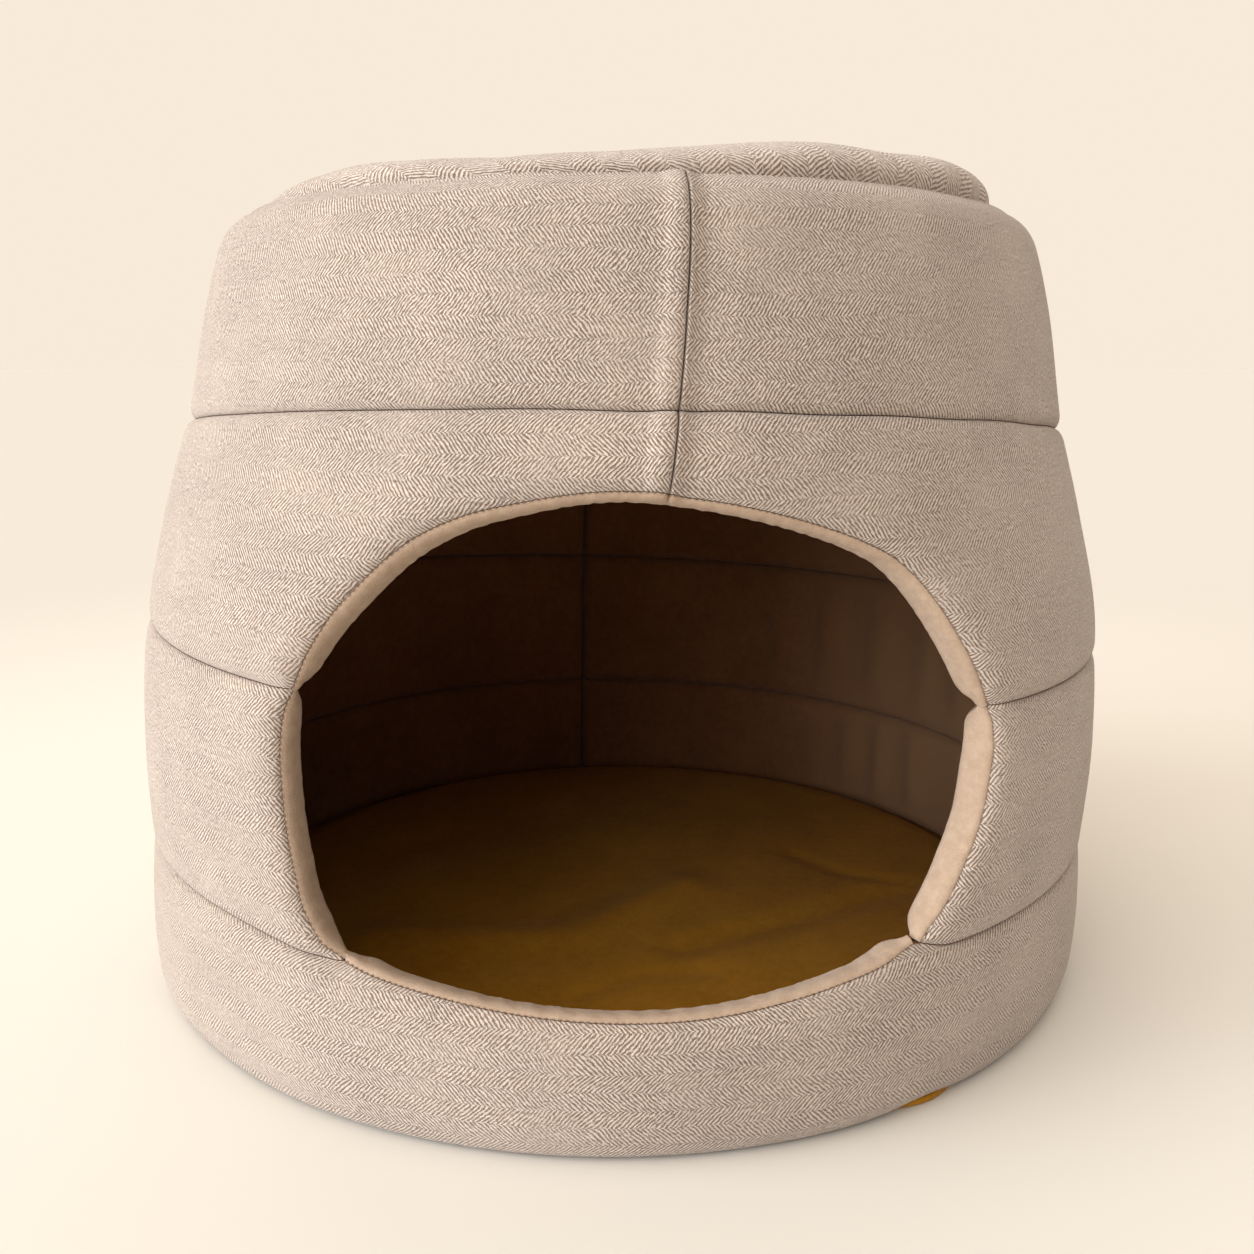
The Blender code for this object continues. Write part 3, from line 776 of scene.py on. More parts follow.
def spread(marks, step):
    """The marked angles in order all the way round, with more between them where they lie far apart."""
    marks = sorted(set(round(wrap(mark), 4) for mark in marks))
    angles = []
    for mark, following in zip(marks, marks[1:] + [marks[0] + FULL_TURN]):
        count = max(1, math.ceil((following - mark) / step))
        angles += [mark + (following - mark) * k / count for k in range(count)]
    return np.array(angles)


def around(angle, offsets):
    """Angles at these distances on either side of one."""
    turns = [math.degrees(offset / UPRIGHT_RADIUS) for offset in offsets]
    return [angle + sign * turn for turn in turns for sign in (-1.0, 1.0)]


def row_shares(height, middle_row):
    """Shares of the way up a band, close together near both of its edges."""
    low = [row for row in EDGE_ROWS if row < 0.4 * height]
    start = low[-1]
    count = max(1, round((height - 2 * start) / middle_row))
    middle = list(np.linspace(start, height - start, count + 1))[1:-1]
    return np.array(low + middle + [height - row for row in reversed(low)]) / height


def back_seam_marks():
    """The angles of the columns on and beside the back seam."""
    return [BACK_SEAM] + around(BACK_SEAM, BACK_SEAM_COLUMNS)


def column_angles(number, step):
    """The angles of a ring tier's columns."""
    marks = list(np.arange(-HALF_TURN, HALF_TURN, 10.0)) + back_seam_marks()
    if step < LINING_STEP and number < 3:
        marks += around(CLOSING_SEAM_MIDDLE, CLOSING_SEAM_COLUMNS)
    if number in (2, 4):
        ends = ARCH_ENDS if number == 2 else SILL_ENDS
        fine = FINE_STEP if step < LINING_STEP else step / 2
        for end in ends:
            marks += list(end + np.arange(-CORNER_COLUMNS, CORNER_COLUMNS + 1) * fine)
    return spread(marks, step)


def ring_face(number, angles, shares, inner):
    """Angles and heights of the places on a ring tier's outer or inner face."""
    lower = {1: seam_a, 2: under_tier_2, 4: foot}[number]
    upper = {1: rim, 2: seam_a, 4: top_of_tier_4}[number]
    ends = {1: None, 2: ARCH_ENDS, 4: SILL_ENDS}[number]
    angle = np.repeat(angles[:, None], len(shares), axis=1)
    low = lower(angles)
    high = upper(angles)
    if inner and ends is not None:
        shifted = angles + flare_at(angles, ends)
        in_door = between(angles, ends)
        if number == 2:
            low = np.where(in_door, low + arch_inner_rise(angles), seam_b(shifted))
            high = np.where(in_door, high, upper(shifted))
        else:
            high = np.where(in_door, high - sill_inner_drop(angles), seam_c(shifted))
        angle = np.repeat(shifted[:, None], len(shares), axis=1)
    low = low + PIECE_GAP
    high = high - PIECE_GAP
    height = low[:, None] + (high - low)[:, None] * shares[None, :]
    if not inner and number < 3:
        near = np.clip(1.0 - np.abs(wrap(angle - CLOSING_SEAM_MIDDLE)) / CLOSING_SEAM_FADE, 0.0, 1.0)
        eased = near * near * (3.0 - 2.0 * near)
        angle = angle + eased * (along(CLOSING_SEAM, height) - CLOSING_SEAM_MIDDLE)
        low = lower(angle[:, 0]) + PIECE_GAP
        high = upper(angle[:, -1]) - PIECE_GAP
        height = low[:, None] + (high - low)[:, None] * shares[None, :]
    return angle, height


def tier_3_heights(lowest, highest, shares):
    """Heights up tier 3 between its seams, for a column that starts and ends at these angles."""
    low = seam_c(lowest) + PIECE_GAP
    high = seam_b(highest) - PIECE_GAP
    return low + (high - low) * shares


def jamb_face(shares, steps, inner):
    """Angles and heights of tier 3's columns beside the doorway: the right jamb's, then the left one's."""
    rows = []
    for right in (True, False):
        corner = ARCH_ENDS[1] if right else ARCH_ENDS[0]
        foot_corner = SILL_ENDS[1] if right else SILL_ENDS[0]
        sign = 1.0 if right else -1.0
        low = seam_c(foot_corner)
        high = seam_b(corner)
        height = low + (high - low) * shares
        side_rows = []
        for step in steps:
            for _ in range(3):
                edge = jamb(height, right)
                angle = edge + (sign * JAMBS_CLEARED - edge) * step
                height = tier_3_heights(angle[0], angle[-1], shares)
            if inner:
                past = np.abs(angle - jamb(height, right))
                fade = np.clip(1.0 - past / FLARE_FADE, 0.0, 1.0)
                angle = angle + (FLARE_RIGHT if right else -FLARE_LEFT) * fade
                height = tier_3_heights(angle[0], angle[-1], shares)
            side_rows.append((angle if right else angle + FULL_TURN, height))
        rows.append(side_rows)
    return rows


def tier_3_face(shares, step, inner):
    """Angles and heights of the places on tier 3's outer or inner face, from the right jamb to the left."""
    count = round(JAMB_WIDTH / (step if step < LINING_STEP else step / 2))
    steps = np.linspace(0.0, 1.0, count + 1) ** JAMB_COLUMNS_EASED
    right, left = jamb_face(shares, steps, inner)
    marks = [mark + FULL_TURN for mark in back_seam_marks()]
    start = JAMBS_CLEARED
    angles = np.concatenate((np.arange(start + step, FULL_TURN - start - step / 2, step), marks))
    plain = [(angle + 0.0 * shares, tier_3_heights(angle, angle, shares)) for angle in sorted(angles)]
    columns = right + plain + left[::-1]
    return tuple(np.array(part) for part in zip(*columns))


class Face:
    """The places of one face of a tier: angles, heights, shares of the way up, and depths."""

    def __init__(self, number, step, middle_row, inner, sewing):
        shares = row_shares(TIER_HEIGHTS[number], middle_row)
        if number == 3:
            self.angle, self.height = tier_3_face(shares, step, inner)
        else:
            self.angle, self.height = ring_face(number, column_angles(number, step), shares, inner)
        measure = inner_depth if inner else outer_depth
        share = np.repeat(shares[None, :], len(self.angle), axis=0)
        self.depth = measure(number, wrap(self.angle), self.height, share, sewing)
        if number == 4 and not inner:
            self.tuck_under()

    def tuck_under(self):
        """Run the foot down past the base panel's edge, and turn its hem in under the padding."""
        above = np.clip(1.0 - (self.height - BASE) / FOOT_TUCK_REACH, 0.0, 1.0)
        lifted = bump(wrap(self.angle) - BASE_SHOWS, BASE_SHOWS_REACH)
        self.height = self.height - FOOT_TUCK * above * above * (1.0 - FOOT_LIFTED * lifted)
        low = self.height[:, :1]
        first = self.depth[:, :1]
        self.angle = np.concatenate((self.angle[:, :2], self.angle), axis=1)
        self.height = np.concatenate((low + FOOT_TUCK, low, self.height), axis=1)
        self.depth = np.concatenate((first + HEM_DEPTHS[0], first + HEM_DEPTHS[1], self.depth), axis=1)

    def places(self, deeper=0.0):
        """The places in space, or those this much deeper in."""
        return wall_point(self.angle, self.height, self.depth + deeper)


def zip_faces(left, right):
    """Triangles between two rows of points that may have different counts."""
    faces = []
    i = 0
    j = 0
    while i < len(left) - 1 or j < len(right) - 1:
        ahead = (i + 1) / (len(left) - 1) if i < len(left) - 1 else 2.0
        beside = (j + 1) / (len(right) - 1) if j < len(right) - 1 else 2.0
        if ahead <= beside:
            faces.append((left[i], left[i + 1], right[j]))
            i += 1
        else:
            faces.append((left[i], right[j + 1], right[j]))
            j += 1
    return faces


def build_mesh(name, points, faces, material, weave=None):
    """A closed mesh with its faces pointing out; weave gives each point's place on the flat cloth."""
    points = np.asarray(points, float)
    first, second, third = (points[[face[k] for face in faces]] for k in range(3))
    if np.einsum("ij,ij->", first, np.cross(second, third)) < 0:
        faces = [face[::-1] for face in faces]
    mesh = bpy.data.meshes.new(name)
    mesh.from_pydata(points, [], faces)
    if weave is not None:
        layer = mesh.uv_layers.new(name="weave")
        at = np.zeros(len(mesh.loops), np.int32)
        mesh.loops.foreach_get("vertex_index", at)
        flat = np.asarray(weave, float)[at]
        sides = np.zeros(len(mesh.polygons), np.int32)
        mesh.polygons.foreach_get("loop_total", sides)
        of_face = np.repeat(np.arange(len(sides)), sides)
        widest = np.full(len(sides), -np.inf)
        np.maximum.at(widest, of_face, flat[:, 0])
        turn = FULL_TURN * UPRIGHT_RADIUS * math.pi / HALF_TURN
        flat[:, 0] += np.where(widest[of_face] - flat[:, 0] > turn / 2, turn, 0.0)
        layer.data.foreach_set("uv", flat.ravel().astype(np.float32))
    mesh.shade_smooth()
    mesh.set_sharp_from_angle(angle=math.radians(SHARP_FROM))
    mesh.materials.append(material)
    made = bpy.data.objects.new(name, mesh)
    bpy.context.scene.collection.objects.link(made)
    return made


def shell(name, front, back, closed, material, weave=None):
    """A solid between two grids of points, given column by column: a ring, or a strip with two ends."""
    columns, front_count = front.shape[:2]
    back_count = back.shape[1]
    per_column = front_count + back_count
    points = np.concatenate((front, back[:, ::-1]), axis=1).reshape(-1, 3)
    here = np.arange(columns if closed else columns - 1)
    there = (here + 1) % columns
    row = np.arange(per_column)
    next_row = (row + 1) % per_column
    corners = ((here, row), (there, row), (there, next_row), (here, next_row))
    sides = np.stack([column[:, None] * per_column + at for column, at in corners], axis=-1)
    faces = [tuple(face) for face in sides.reshape(-1, 4).tolist()]
    if not closed:
        for column in (0, columns - 1):
            start = column * per_column
            front_edge = [start + i for i in range(front_count)]
            back_edge = [start + per_column - 1 - i for i in range(back_count)]
            cap = zip_faces(front_edge, back_edge)
            faces += cap if column else [face[::-1] for face in cap]
    return build_mesh(name, points, faces, material, weave)


def node(tree, kind, inputs=None, **settings):
    """A node with its settings, and its sockets set or linked."""
    made = tree.nodes.new(kind)
    for setting, value in settings.items():
        setattr(made, setting, value)
    for socket, value in (inputs or {}).items():
        if isinstance(value, bpy.types.NodeSocket):
            tree.links.new(value, made.inputs[socket])
        else:
            made.inputs[socket].default_value = value
    return made


def maths(tree, operation, a, b=0.0, c=0.0):
    """The result of a sum on numbers or sockets."""
    return node(tree, "ShaderNodeMath", {0: a, 1: b, 2: c}, operation=operation).outputs[0]


def mixed(tree, share, first, second):
    """A colour between two, by a share."""
    sockets = {"Factor": share}
    for socket, colour in ((6, first), (7, second)):
        sockets[socket] = colour if isinstance(colour, bpy.types.NodeSocket) else (*colour, 1.0)
    return node(tree, "ShaderNodeMix", sockets, data_type="RGBA").outputs[2]


def noise(tree, place, scale, detail=3.0, roughness=0.55):
    """Soft noise from 0 to 1."""
    inputs = {"Vector": place, "Scale": scale, "Detail": detail, "Roughness": roughness}
    return node(tree, "ShaderNodeTexNoise", inputs).outputs["Fac"]


def ramp(tree, value, low, high):
    """0 under low, 1 over high and smooth between them."""
    inputs = {"Value": value, "From Min": low, "From Max": high}
    return node(tree, "ShaderNodeMapRange", inputs, interpolation_type="SMOOTHSTEP").outputs["Result"]


def stretched(tree, place, scales):
    """A place with each of its directions scaled."""
    return node(tree, "ShaderNodeVectorMath", {0: place, 1: scales}, operation="MULTIPLY").outputs[0]


# How strongly plain and brushed cloth mirror the light
CLOTH_MIRRORS = 0.25
BRUSHED_MIRRORS = 0.08

# The herringbone: its noises' scales, in waves for each metre of flat cloth, and how strongly they show
SWAY_SCALE = 42.0
SWAY = (0.0050, 0.0042, 0.0)
LINE_SLANT = 0.92
ROW_OFFSET = 0.41
YARN_SCALES = (1300.0, 760.0, 1.0)
YARN_BREAKS = 6.4
YARN_RISES = 0.7
LINE_EDGES = (-0.95, 0.55)
LINE_CENTRE = 0.60
LINE_REST = 0.58
BALD_SCALE = 30.0
BALD_EDGES = (0.30, 0.62)
LINE_HELD = 0.66
LINE_HELD_MORE = 0.40
FIBRE_SCALES = (1100.0, 1500.0, 1.0)
FIBRES_SHOW = 1.30
STREAK_SCALES = (60.0, 900.0, 1.0)
PATCH_SCALE = 24.0
TONE_EDGES = (0.32, 0.68)
GROUND_DARKENS = 0.5
LINE_PALES = 0.15
LINE_DULLS = 0.30
SPECK_SCALES = (420.0, 520.0, 1.0)
SPECK_EDGES = (0.76, 0.82)

# The brushed cloths: how strongly the brush marks, patches and grain show, and where the nap turns over
BRUSH_SCALE = 240.0
BRUSH_SHOWS = 0.45
PATCHES_SHOW = 0.6
GRAIN_SHOWS = 0.45
GRAIN_RELIEF = 0.0003
NAP_EDGES = (0.52, 0.98)

THREAD_TWIST = 2500.0
THREAD_DARK = (0.16, 0.10, 0.065)
THREAD_PALE = (0.30, 0.20, 0.14)


def new_finish(name, roughness, sheen, sheen_roughness=0.5):
    """A matt cloth shader; gives the material, its tree and the shader."""
    material = bpy.data.materials.new(name)
    material.use_nodes = True
    tree = material.node_tree
    shader = tree.nodes["Principled BSDF"]
    shader.inputs["Roughness"].default_value = roughness
    shader.inputs["Specular IOR Level"].default_value = CLOTH_MIRRORS
    shader.inputs["Sheen Weight"].default_value = sheen
    shader.inputs["Sheen Roughness"].default_value = sheen_roughness
    return material, tree, shader


def raise_surface(tree, shader, height, distance):
    """Let the surface catch the light as though it were raised."""
    bumped = node(tree, "ShaderNodeBump", {"Height": height, "Distance": distance, "Strength": 1.0})
    tree.links.new(bumped.outputs["Normal"], shader.inputs["Normal"])


def herringbone_finish(cloth):
    """The woven herringbone: rows of slanted lines that turn back at each row's edge."""
    found = bpy.data.materials.get("herringbone cloth")
    if found:
        return found
    material, tree, shader = new_finish("herringbone cloth", roughness=0.88, sheen=0.35)
    flat = node(tree, "ShaderNodeUVMap", uv_map="weave").outputs["UV"]
    # the rows sway a little, as the padding pulls at the cloth
    sway = {"Vector": flat, "Scale": SWAY_SCALE, "Detail": 4.0, "Roughness": 0.6}
    stray = node(tree, "ShaderNodeTexNoise", sway).outputs["Color"]
    centred = node(tree, "ShaderNodeVectorMath", {0: stray, 1: (0.5, 0.5, 0.5)}, operation="SUBTRACT")
    shifts = {0: centred.outputs[0], 1: SWAY, 2: flat}
    moved = node(tree, "ShaderNodeVectorMath", shifts, operation="MULTIPLY_ADD")
    apart = node(tree, "ShaderNodeSeparateXYZ", {0: moved.outputs[0]})
    along_row = apart.outputs["X"]
    up = apart.outputs["Y"]
    # each row slants the other way and starts a little farther on
    slant = maths(tree, "PINGPONG", up, cloth.stripe)
    row = maths(tree, "FLOOR", maths(tree, "DIVIDE", up, cloth.stripe))
    offset = maths(tree, "MULTIPLY", row, ROW_OFFSET * cloth.twill)
    run = maths(tree, "ADD", maths(tree, "MULTIPLY_ADD", slant, LINE_SLANT, along_row), offset)
    turns = maths(tree, "MULTIPLY", run, 2.0 * math.pi / cloth.twill)
    wave = maths(tree, "SINE", turns)
    # yarns break the lines, which are bald in patches
    on_line = node(tree, "ShaderNodeCombineXYZ", {"X": run, "Y": up}).outputs[0]
    yarn = noise(tree, stretched(tree, on_line, YARN_SCALES), 1.0, 3.0, 0.65)
    broken = maths(tree, "MULTIPLY_ADD", maths(tree, "SUBTRACT", yarn, 0.5), YARN_BREAKS, wave)
    sharp = ramp(tree, broken, *LINE_EDGES)
    bald = ramp(tree, noise(tree, flat, BALD_SCALE), *BALD_EDGES)
    hold = maths(tree, "MULTIPLY_ADD", bald, LINE_HELD_MORE, LINE_HELD)
    held = maths(tree, "MULTIPLY_ADD", maths(tree, "SUBTRACT", sharp, LINE_CENTRE), hold, LINE_REST)
    fibres = noise(tree, stretched(tree, flat, FIBRE_SCALES), 1.0, 2.0, 0.7)
    speckle = maths(tree, "SUBTRACT", fibres, 0.5)
    line = maths(tree, "MULTIPLY_ADD", speckle, FIBRES_SHOW, held)
    # the yarn varies in tone
    streak = noise(tree, stretched(tree, flat, STREAK_SCALES), 1.0, 2.0)
    patch = noise(tree, flat, PATCH_SCALE)
    tone = maths(tree, "ADD", maths(tree, "MULTIPLY", patch, 0.5), maths(tree, "MULTIPLY", streak, 0.5))
    uneven = ramp(tree, tone, *TONE_EDGES)
    darker = tuple(channel * (1.0 - GROUND_DARKENS * cloth.uneven) for channel in cloth.ground)
    paler = tuple(min(1.0, channel * (1.0 + LINE_PALES * cloth.uneven)) for channel in cloth.line)
    duller = tuple(channel * (1.0 - LINE_DULLS * cloth.uneven) for channel in cloth.line)
    ground = mixed(tree, uneven, darker, tuple(cloth.ground))
    thread = mixed(tree, uneven, duller, paler)
    woven = mixed(tree, line, ground, thread)
    speck = ramp(tree, noise(tree, stretched(tree, flat, SPECK_SCALES), 1.0, 1.0), *SPECK_EDGES)
    specked = mixed(tree, speck, woven, darker)
    tree.links.new(specked, shader.inputs["Base Color"])
    relief = maths(tree, "ADD", line, maths(tree, "MULTIPLY", yarn, YARN_RISES))
    raise_surface(tree, shader, relief, cloth.relief)
    return material


def brushed_finish(name, colour, nap, sheen, grain, mottle, painted_light_at_right=None):
    """A brushed or suede cloth: fine nap, and soft patches where it lies the other way.

    Its last argument is the colour it fades to at the right of the bed: painted light, standing in for the
    light falling on the right inner wall.
    """
    found = bpy.data.materials.get(name)
    if found:
        return found
    material, tree, shader = new_finish(name, roughness=0.9, sheen=sheen, sheen_roughness=0.6)
    shader.inputs["Specular IOR Level"].default_value = BRUSHED_MIRRORS
    place = node(tree, "ShaderNodeTexCoord").outputs["Object"]
    broad = noise(tree, place, mottle, 4.0, 0.6)
    fine = noise(tree, place, grain, 3.0, 0.7)
    brushed = noise(tree, place, BRUSH_SCALE, 3.0, 0.65)
    broad = maths(tree, "MULTIPLY", broad, PATCHES_SHOW)
    patches = maths(tree, "MULTIPLY_ADD", brushed, BRUSH_SHOWS, broad)
    share = ramp(tree, maths(tree, "MULTIPLY_ADD", fine, GRAIN_SHOWS, patches), *NAP_EDGES)
    seen = mixed(tree, share, tuple(colour), tuple(nap))
    # painted light: the cloth fades to a paler colour towards the right, standing in for the light that falls
    # on the right inner wall
    if painted_light_at_right:
        right = node(tree, "ShaderNodeSeparateXYZ", {"Vector": place}).outputs["X"]
        seen = mixed(tree, ramp(tree, right, *LINING_PAINTED_LIGHT_SPAN), seen, tuple(painted_light_at_right))
    tree.links.new(seen, shader.inputs["Base Color"])
    raise_surface(tree, shader, fine, GRAIN_RELIEF)
    return material


def lining_finish(cloths):
    """The brown lining, painted paler to the right, where light through the doorway falls on it."""
    return brushed_finish(
        "brushed lining", cloths.lining, cloths.lining_worn,
        sheen=0.11, grain=900.0, mottle=26.0, painted_light_at_right=cloths.lining_painted_light,
    )


def facing_finish(cloths):
    """The plain beige cloth round the doorway."""
    return brushed_finish(
        "plain facing", cloths.facing, cloths.facing_light, sheen=0.12, grain=1300.0, mottle=120.0
    )


def cushion_finish(cloths):
    """The olive cloth of the cushion and the base."""
    return brushed_finish(
        "suede cushion", cloths.cushion, cloths.cushion_light, sheen=0.04, grain=1000.0, mottle=26.0
    )


def thread_finish():
    """The dark brown sewing thread."""
    found = bpy.data.materials.get("sewing thread")
    if found:
        return found
    material, tree, shader = new_finish("sewing thread", roughness=0.7, sheen=0.1)
    place = node(tree, "ShaderNodeTexCoord").outputs["Object"]
    twist = noise(tree, place, THREAD_TWIST, 1.0)
    shade = mixed(tree, twist, THREAD_DARK, THREAD_PALE)
    tree.links.new(shade, shader.inputs["Base Color"])
    return material


def longer(places, depth, axis, closed=False):
    """How much longer than its unrolled places the cloth is, from the first on, as it dips and swells."""
    steps = np.linalg.norm(np.diff(places, axis=axis), axis=2)
    dips = np.diff(depth, axis=axis)
    extra = np.cumsum(np.hypot(steps, dips) - steps, axis=axis)
    start = np.zeros_like(np.take(extra, [0], axis=axis))
    extra = np.concatenate((start, extra), axis=axis)
    if closed:
        share = np.linspace(0.0, 1.0, extra.shape[axis])
        extra = extra - share[:, None] * extra[-1:]
    return extra


def flat_place(face, number):
    """Each place of a tier's face on the flat cloth: the distance round and the length upwards."""
    start = WEAVE_OFFSET * number * number
    places = np.stack((arc(face.angle), face.height), axis=-1)
    round_wall = arc(face.angle + HALF_TURN) + start + longer(places, face.depth, 0, True)
    upwards = longer(places, face.depth, 1)
    middle = upwards.shape[1] // 2
    upwards = upwards - upwards[:, middle:middle + 1]
    return np.stack((round_wall, WEAVE_RISE * face.height + start + upwards), axis=-1)


def add_piece(piece, node_name):
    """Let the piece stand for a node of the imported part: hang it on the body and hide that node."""
    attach(piece, BODY)
    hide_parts(node_name)


def settings_of(context):
    """The settings that the panel shows."""
    return context.scene.cave_bed


class CAVE_OT_tiers(bpy.types.Operator):
    """Build the four padded tiers of the wall in herringbone cloth"""

    bl_idname = "cave_bed.tiers"
    bl_label = "Padded tiers"

    def execute(self, context):
        chosen = settings_of(context)
        material = herringbone_finish(chosen.herringbone)
        for number in TIERS:
            outer = Face(number, COLUMN_STEP, MIDDLE_ROW, False, chosen.sewing)
            inner = Face(number, COLUMN_STEP, INNER_ROW, True, chosen.sewing)
            front = outer.places()
            back = inner.places()
            weave = np.concatenate((flat_place(outer, number), flat_place(inner, number)[:, ::-1]), axis=1)
            name = f"padded_tier_{number}"
            piece = shell(name, front, back, number != 3, material, weave.reshape(-1, 2))
            piece.data.materials.append(lining_finish(chosen.cloths))
            # the cloth turned in at the seams, and what lies behind the lining, are dark
            rows = front.shape[1] + back.shape[1]
            row = np.arange(len(piece.data.polygons)) % rows
            seen = {1: front.shape[1] - 1, 4: rows - 1}.get(number)
            turned_in = (row >= front.shape[1] - 1) & (row != seen)
            if number == 3:
                turned_in[(len(front) - 1) * rows:] = False
            piece.data.polygons.foreach_set("material_index", turned_in.astype(np.int32))
            add_piece(piece, f"tier_{number}")
        return {"FINISHED"}


class CAVE_OT_linings(bpy.types.Operator):
    """Build the lining band behind each tier"""

    bl_idname = "cave_bed.linings"
    bl_label = "Lining bands"

    def execute(self, context):
        chosen = settings_of(context)
        material = lining_finish(chosen.cloths)
        for number in TIERS:
            face = Face(number, LINING_STEP, MIDDLE_ROW, True, chosen.sewing)
            back = face.places(SEAT)
            front = face.places(SEAT + LINING)
            piece = shell(f"lining_band_{number}", front, back, number != 3, material)
            add_piece(piece, f"lining_{number}")
        return {"FINISHED"}


def facing_edges(number, sewing, right=None):
    """The tier's outer edge and the lining's inner edge along the doorway, as rows of places."""
    outer = Face(number, COLUMN_STEP, MIDDLE_ROW, False, sewing)
    inner = Face(number, COLUMN_STEP, MIDDLE_ROW, True, sewing)
    front = outer.places()
    face = inner.places(SEAT + LINING)
    if number == 3:
        column = 0 if right else -1
        return front[column], face[column]
    ends = ARCH_ENDS if number == 2 else SILL_ENDS
    row = 0 if number == 2 else -1
    angles = outer.angle[:, row]
    inside = (angles > ends[0] - 0.01) & (angles < ends[1] + 0.01)
    return front[inside, row], face[inside, row]


def smooth_run(places, spacing):
    """The row of places, taken again at even spacing."""
    steps = np.linalg.norm(np.diff(places, axis=0), axis=1)
    run = np.concatenate(([0.0], np.cumsum(steps)))
    count = max(8, round(run[-1] / spacing))
    at = np.linspace(0.0, run[-1], count + 1)
    return np.stack([np.interp(at, run, places[:, axis]) for axis in range(3)], axis=-1)


def paired_run(outer, inner, spacing):
    """Both edges at the same shares of their lengths."""
    first = smooth_run(outer, spacing)
    steps = np.linalg.norm(np.diff(inner, axis=0), axis=1)
    run = np.concatenate(([0.0], np.cumsum(steps))) / steps.sum()
    at = np.linspace(0.0, 1.0, len(first))
    return first, np.stack([np.interp(at, run, inner[:, axis]) for axis in range(3)], axis=-1)


FACING_STRIPS = (
    # name, tier, whether it is the right jamb, seed of its small ripples, crown
    ("arch", 2, None, 71, 0.0014),
    ("right", 3, True, 72, 0.0016),
    ("left", 3, False, 73, 0.0015),
    ("sill", 4, None, 74, 0.0012),
)
FACING_SPACING = 0.0016
FACING_ACROSS = 15
FACING_EASED = 0.75
FACING_ROLL = 3.2
FACING_LEAST_PUFF = 0.25
FACING_RIPPLE = 0.00014
FACING_WAVES = (0.0034, 0.0120)
FACING_WAVE_COUNT = 6
FACING_WAVE_SLOPES = (-0.8, 0.8)

# The stitches: where each starts and ends along its pitch, and how far it lies out and towards the wall
STITCH_SPAN = (0.15, 0.80)
STITCH_OUT = 0.0003
STITCH_IN = 0.0002
STITCH_BOW = 0.8
STITCH_SIDES = 6
STITCH_SHAPE = (
    # share of its length, share of its thickness
    (0.0, 0.35),
    (0.12, 0.85),
    (0.5, 1.0),
    (0.88, 0.85),
    (1.0, 0.35),
)


def facing_grid(outer, inner, seed, rise):
    """The strip's front and back, and the way that its face looks at its outer edge."""
    tangent = np.gradient((outer + inner) / 2.0, axis=0)
    out = np.cross(tangent, inner - outer)
    out /= np.linalg.norm(out, axis=1)[:, None]
    inward = np.array(DOOR_MIDDLE) - (outer + inner) / 2.0
    flip = np.sign(np.einsum("ij,ij->i", out, inward))
    out *= flip[:, None]
    across = np.linspace(-1.0, 1.0, FACING_ACROSS)
    across = np.sign(across) * np.abs(across) ** FACING_EASED
    share = (across + 1.0) / 2.0
    place = outer[:, None] + (inner - outer)[:, None] * share[None, :, None]
    width = np.linalg.norm(inner - outer, axis=1)
    puff = np.clip(width / WALL, FACING_LEAST_PUFF, 1.0)
    roll = 1.0 - np.abs(across) ** FACING_ROLL
    along_strip = np.arange(len(outer)) * FACING_SPACING
    ripple = np.zeros((len(outer), len(across)))
    draw = np.random.default_rng(seed)
    for _ in range(FACING_WAVE_COUNT):
        wave = draw.uniform(*FACING_WAVES)
        slope = draw.uniform(*FACING_WAVE_SLOPES)
        phase = draw.uniform(0.0, 2.0 * math.pi)
        ripple += np.sin(2.0 * math.pi * along_strip[:, None] / wave + slope * across[None, :] + phase)
    crown = rise * puff[:, None] * roll[None, :]
    crown = crown + FACING_RIPPLE * ripple / 2.0 * roll[None, :]
    front = place + out[:, None] * (SEAT + crown + FACING * roll ** 0.5)[..., None]
    back = place + out[:, None] * (SEAT / 2 + np.maximum(0.0, crown))[..., None]
    return front, back, out


class CAVE_OT_facings(bpy.types.Operator):
    """Build the plain facing strips round the doorway"""

    bl_idname = "cave_bed.facings"
    bl_label = "Facing strips"

    def execute(self, context):
        chosen = settings_of(context)
        material = facing_finish(chosen.cloths)
        for name, number, right, seed, rise in FACING_STRIPS:
            outer, inner = paired_run(*facing_edges(number, chosen.sewing, right), FACING_SPACING)
            front, back, _ = facing_grid(outer, inner, seed, rise)
            piece = shell(f"facing_strip_{name}", front, back, False, material)
            add_piece(piece, f"facing_{name}")
        return {"FINISHED"}


def capsule(start, end, up, thickness):
    """One stitch: points and faces of a short thread with round ends, bowed a little out of the cloth."""
    sides = STITCH_SIDES
    axis = (end - start) / np.linalg.norm(end - start)
    up = up - axis * (up @ axis)
    up /= np.linalg.norm(up)
    across = np.cross(axis, up)
    points = []
    for share, wide in STITCH_SHAPE:
        middle = start + (end - start) * share + up * thickness * STITCH_BOW * 4 * share * (1 - share)
        for k in range(sides):
            turn = 2.0 * math.pi * k / sides
            points.append(middle + (across * math.cos(turn) + up * math.sin(turn)) * thickness / 2 * wide)
    faces = []
    for ring in range(len(STITCH_SHAPE) - 1):
        for k in range(sides):
            following = (k + 1) % sides
            low = ring * sides
            faces.append((low + k, low + following, low + sides + following, low + sides + k))
    faces.append(tuple(range(sides))[::-1])
    last = (len(STITCH_SHAPE) - 1) * sides
    faces.append(tuple(last + k for k in range(sides)))
    return points, faces


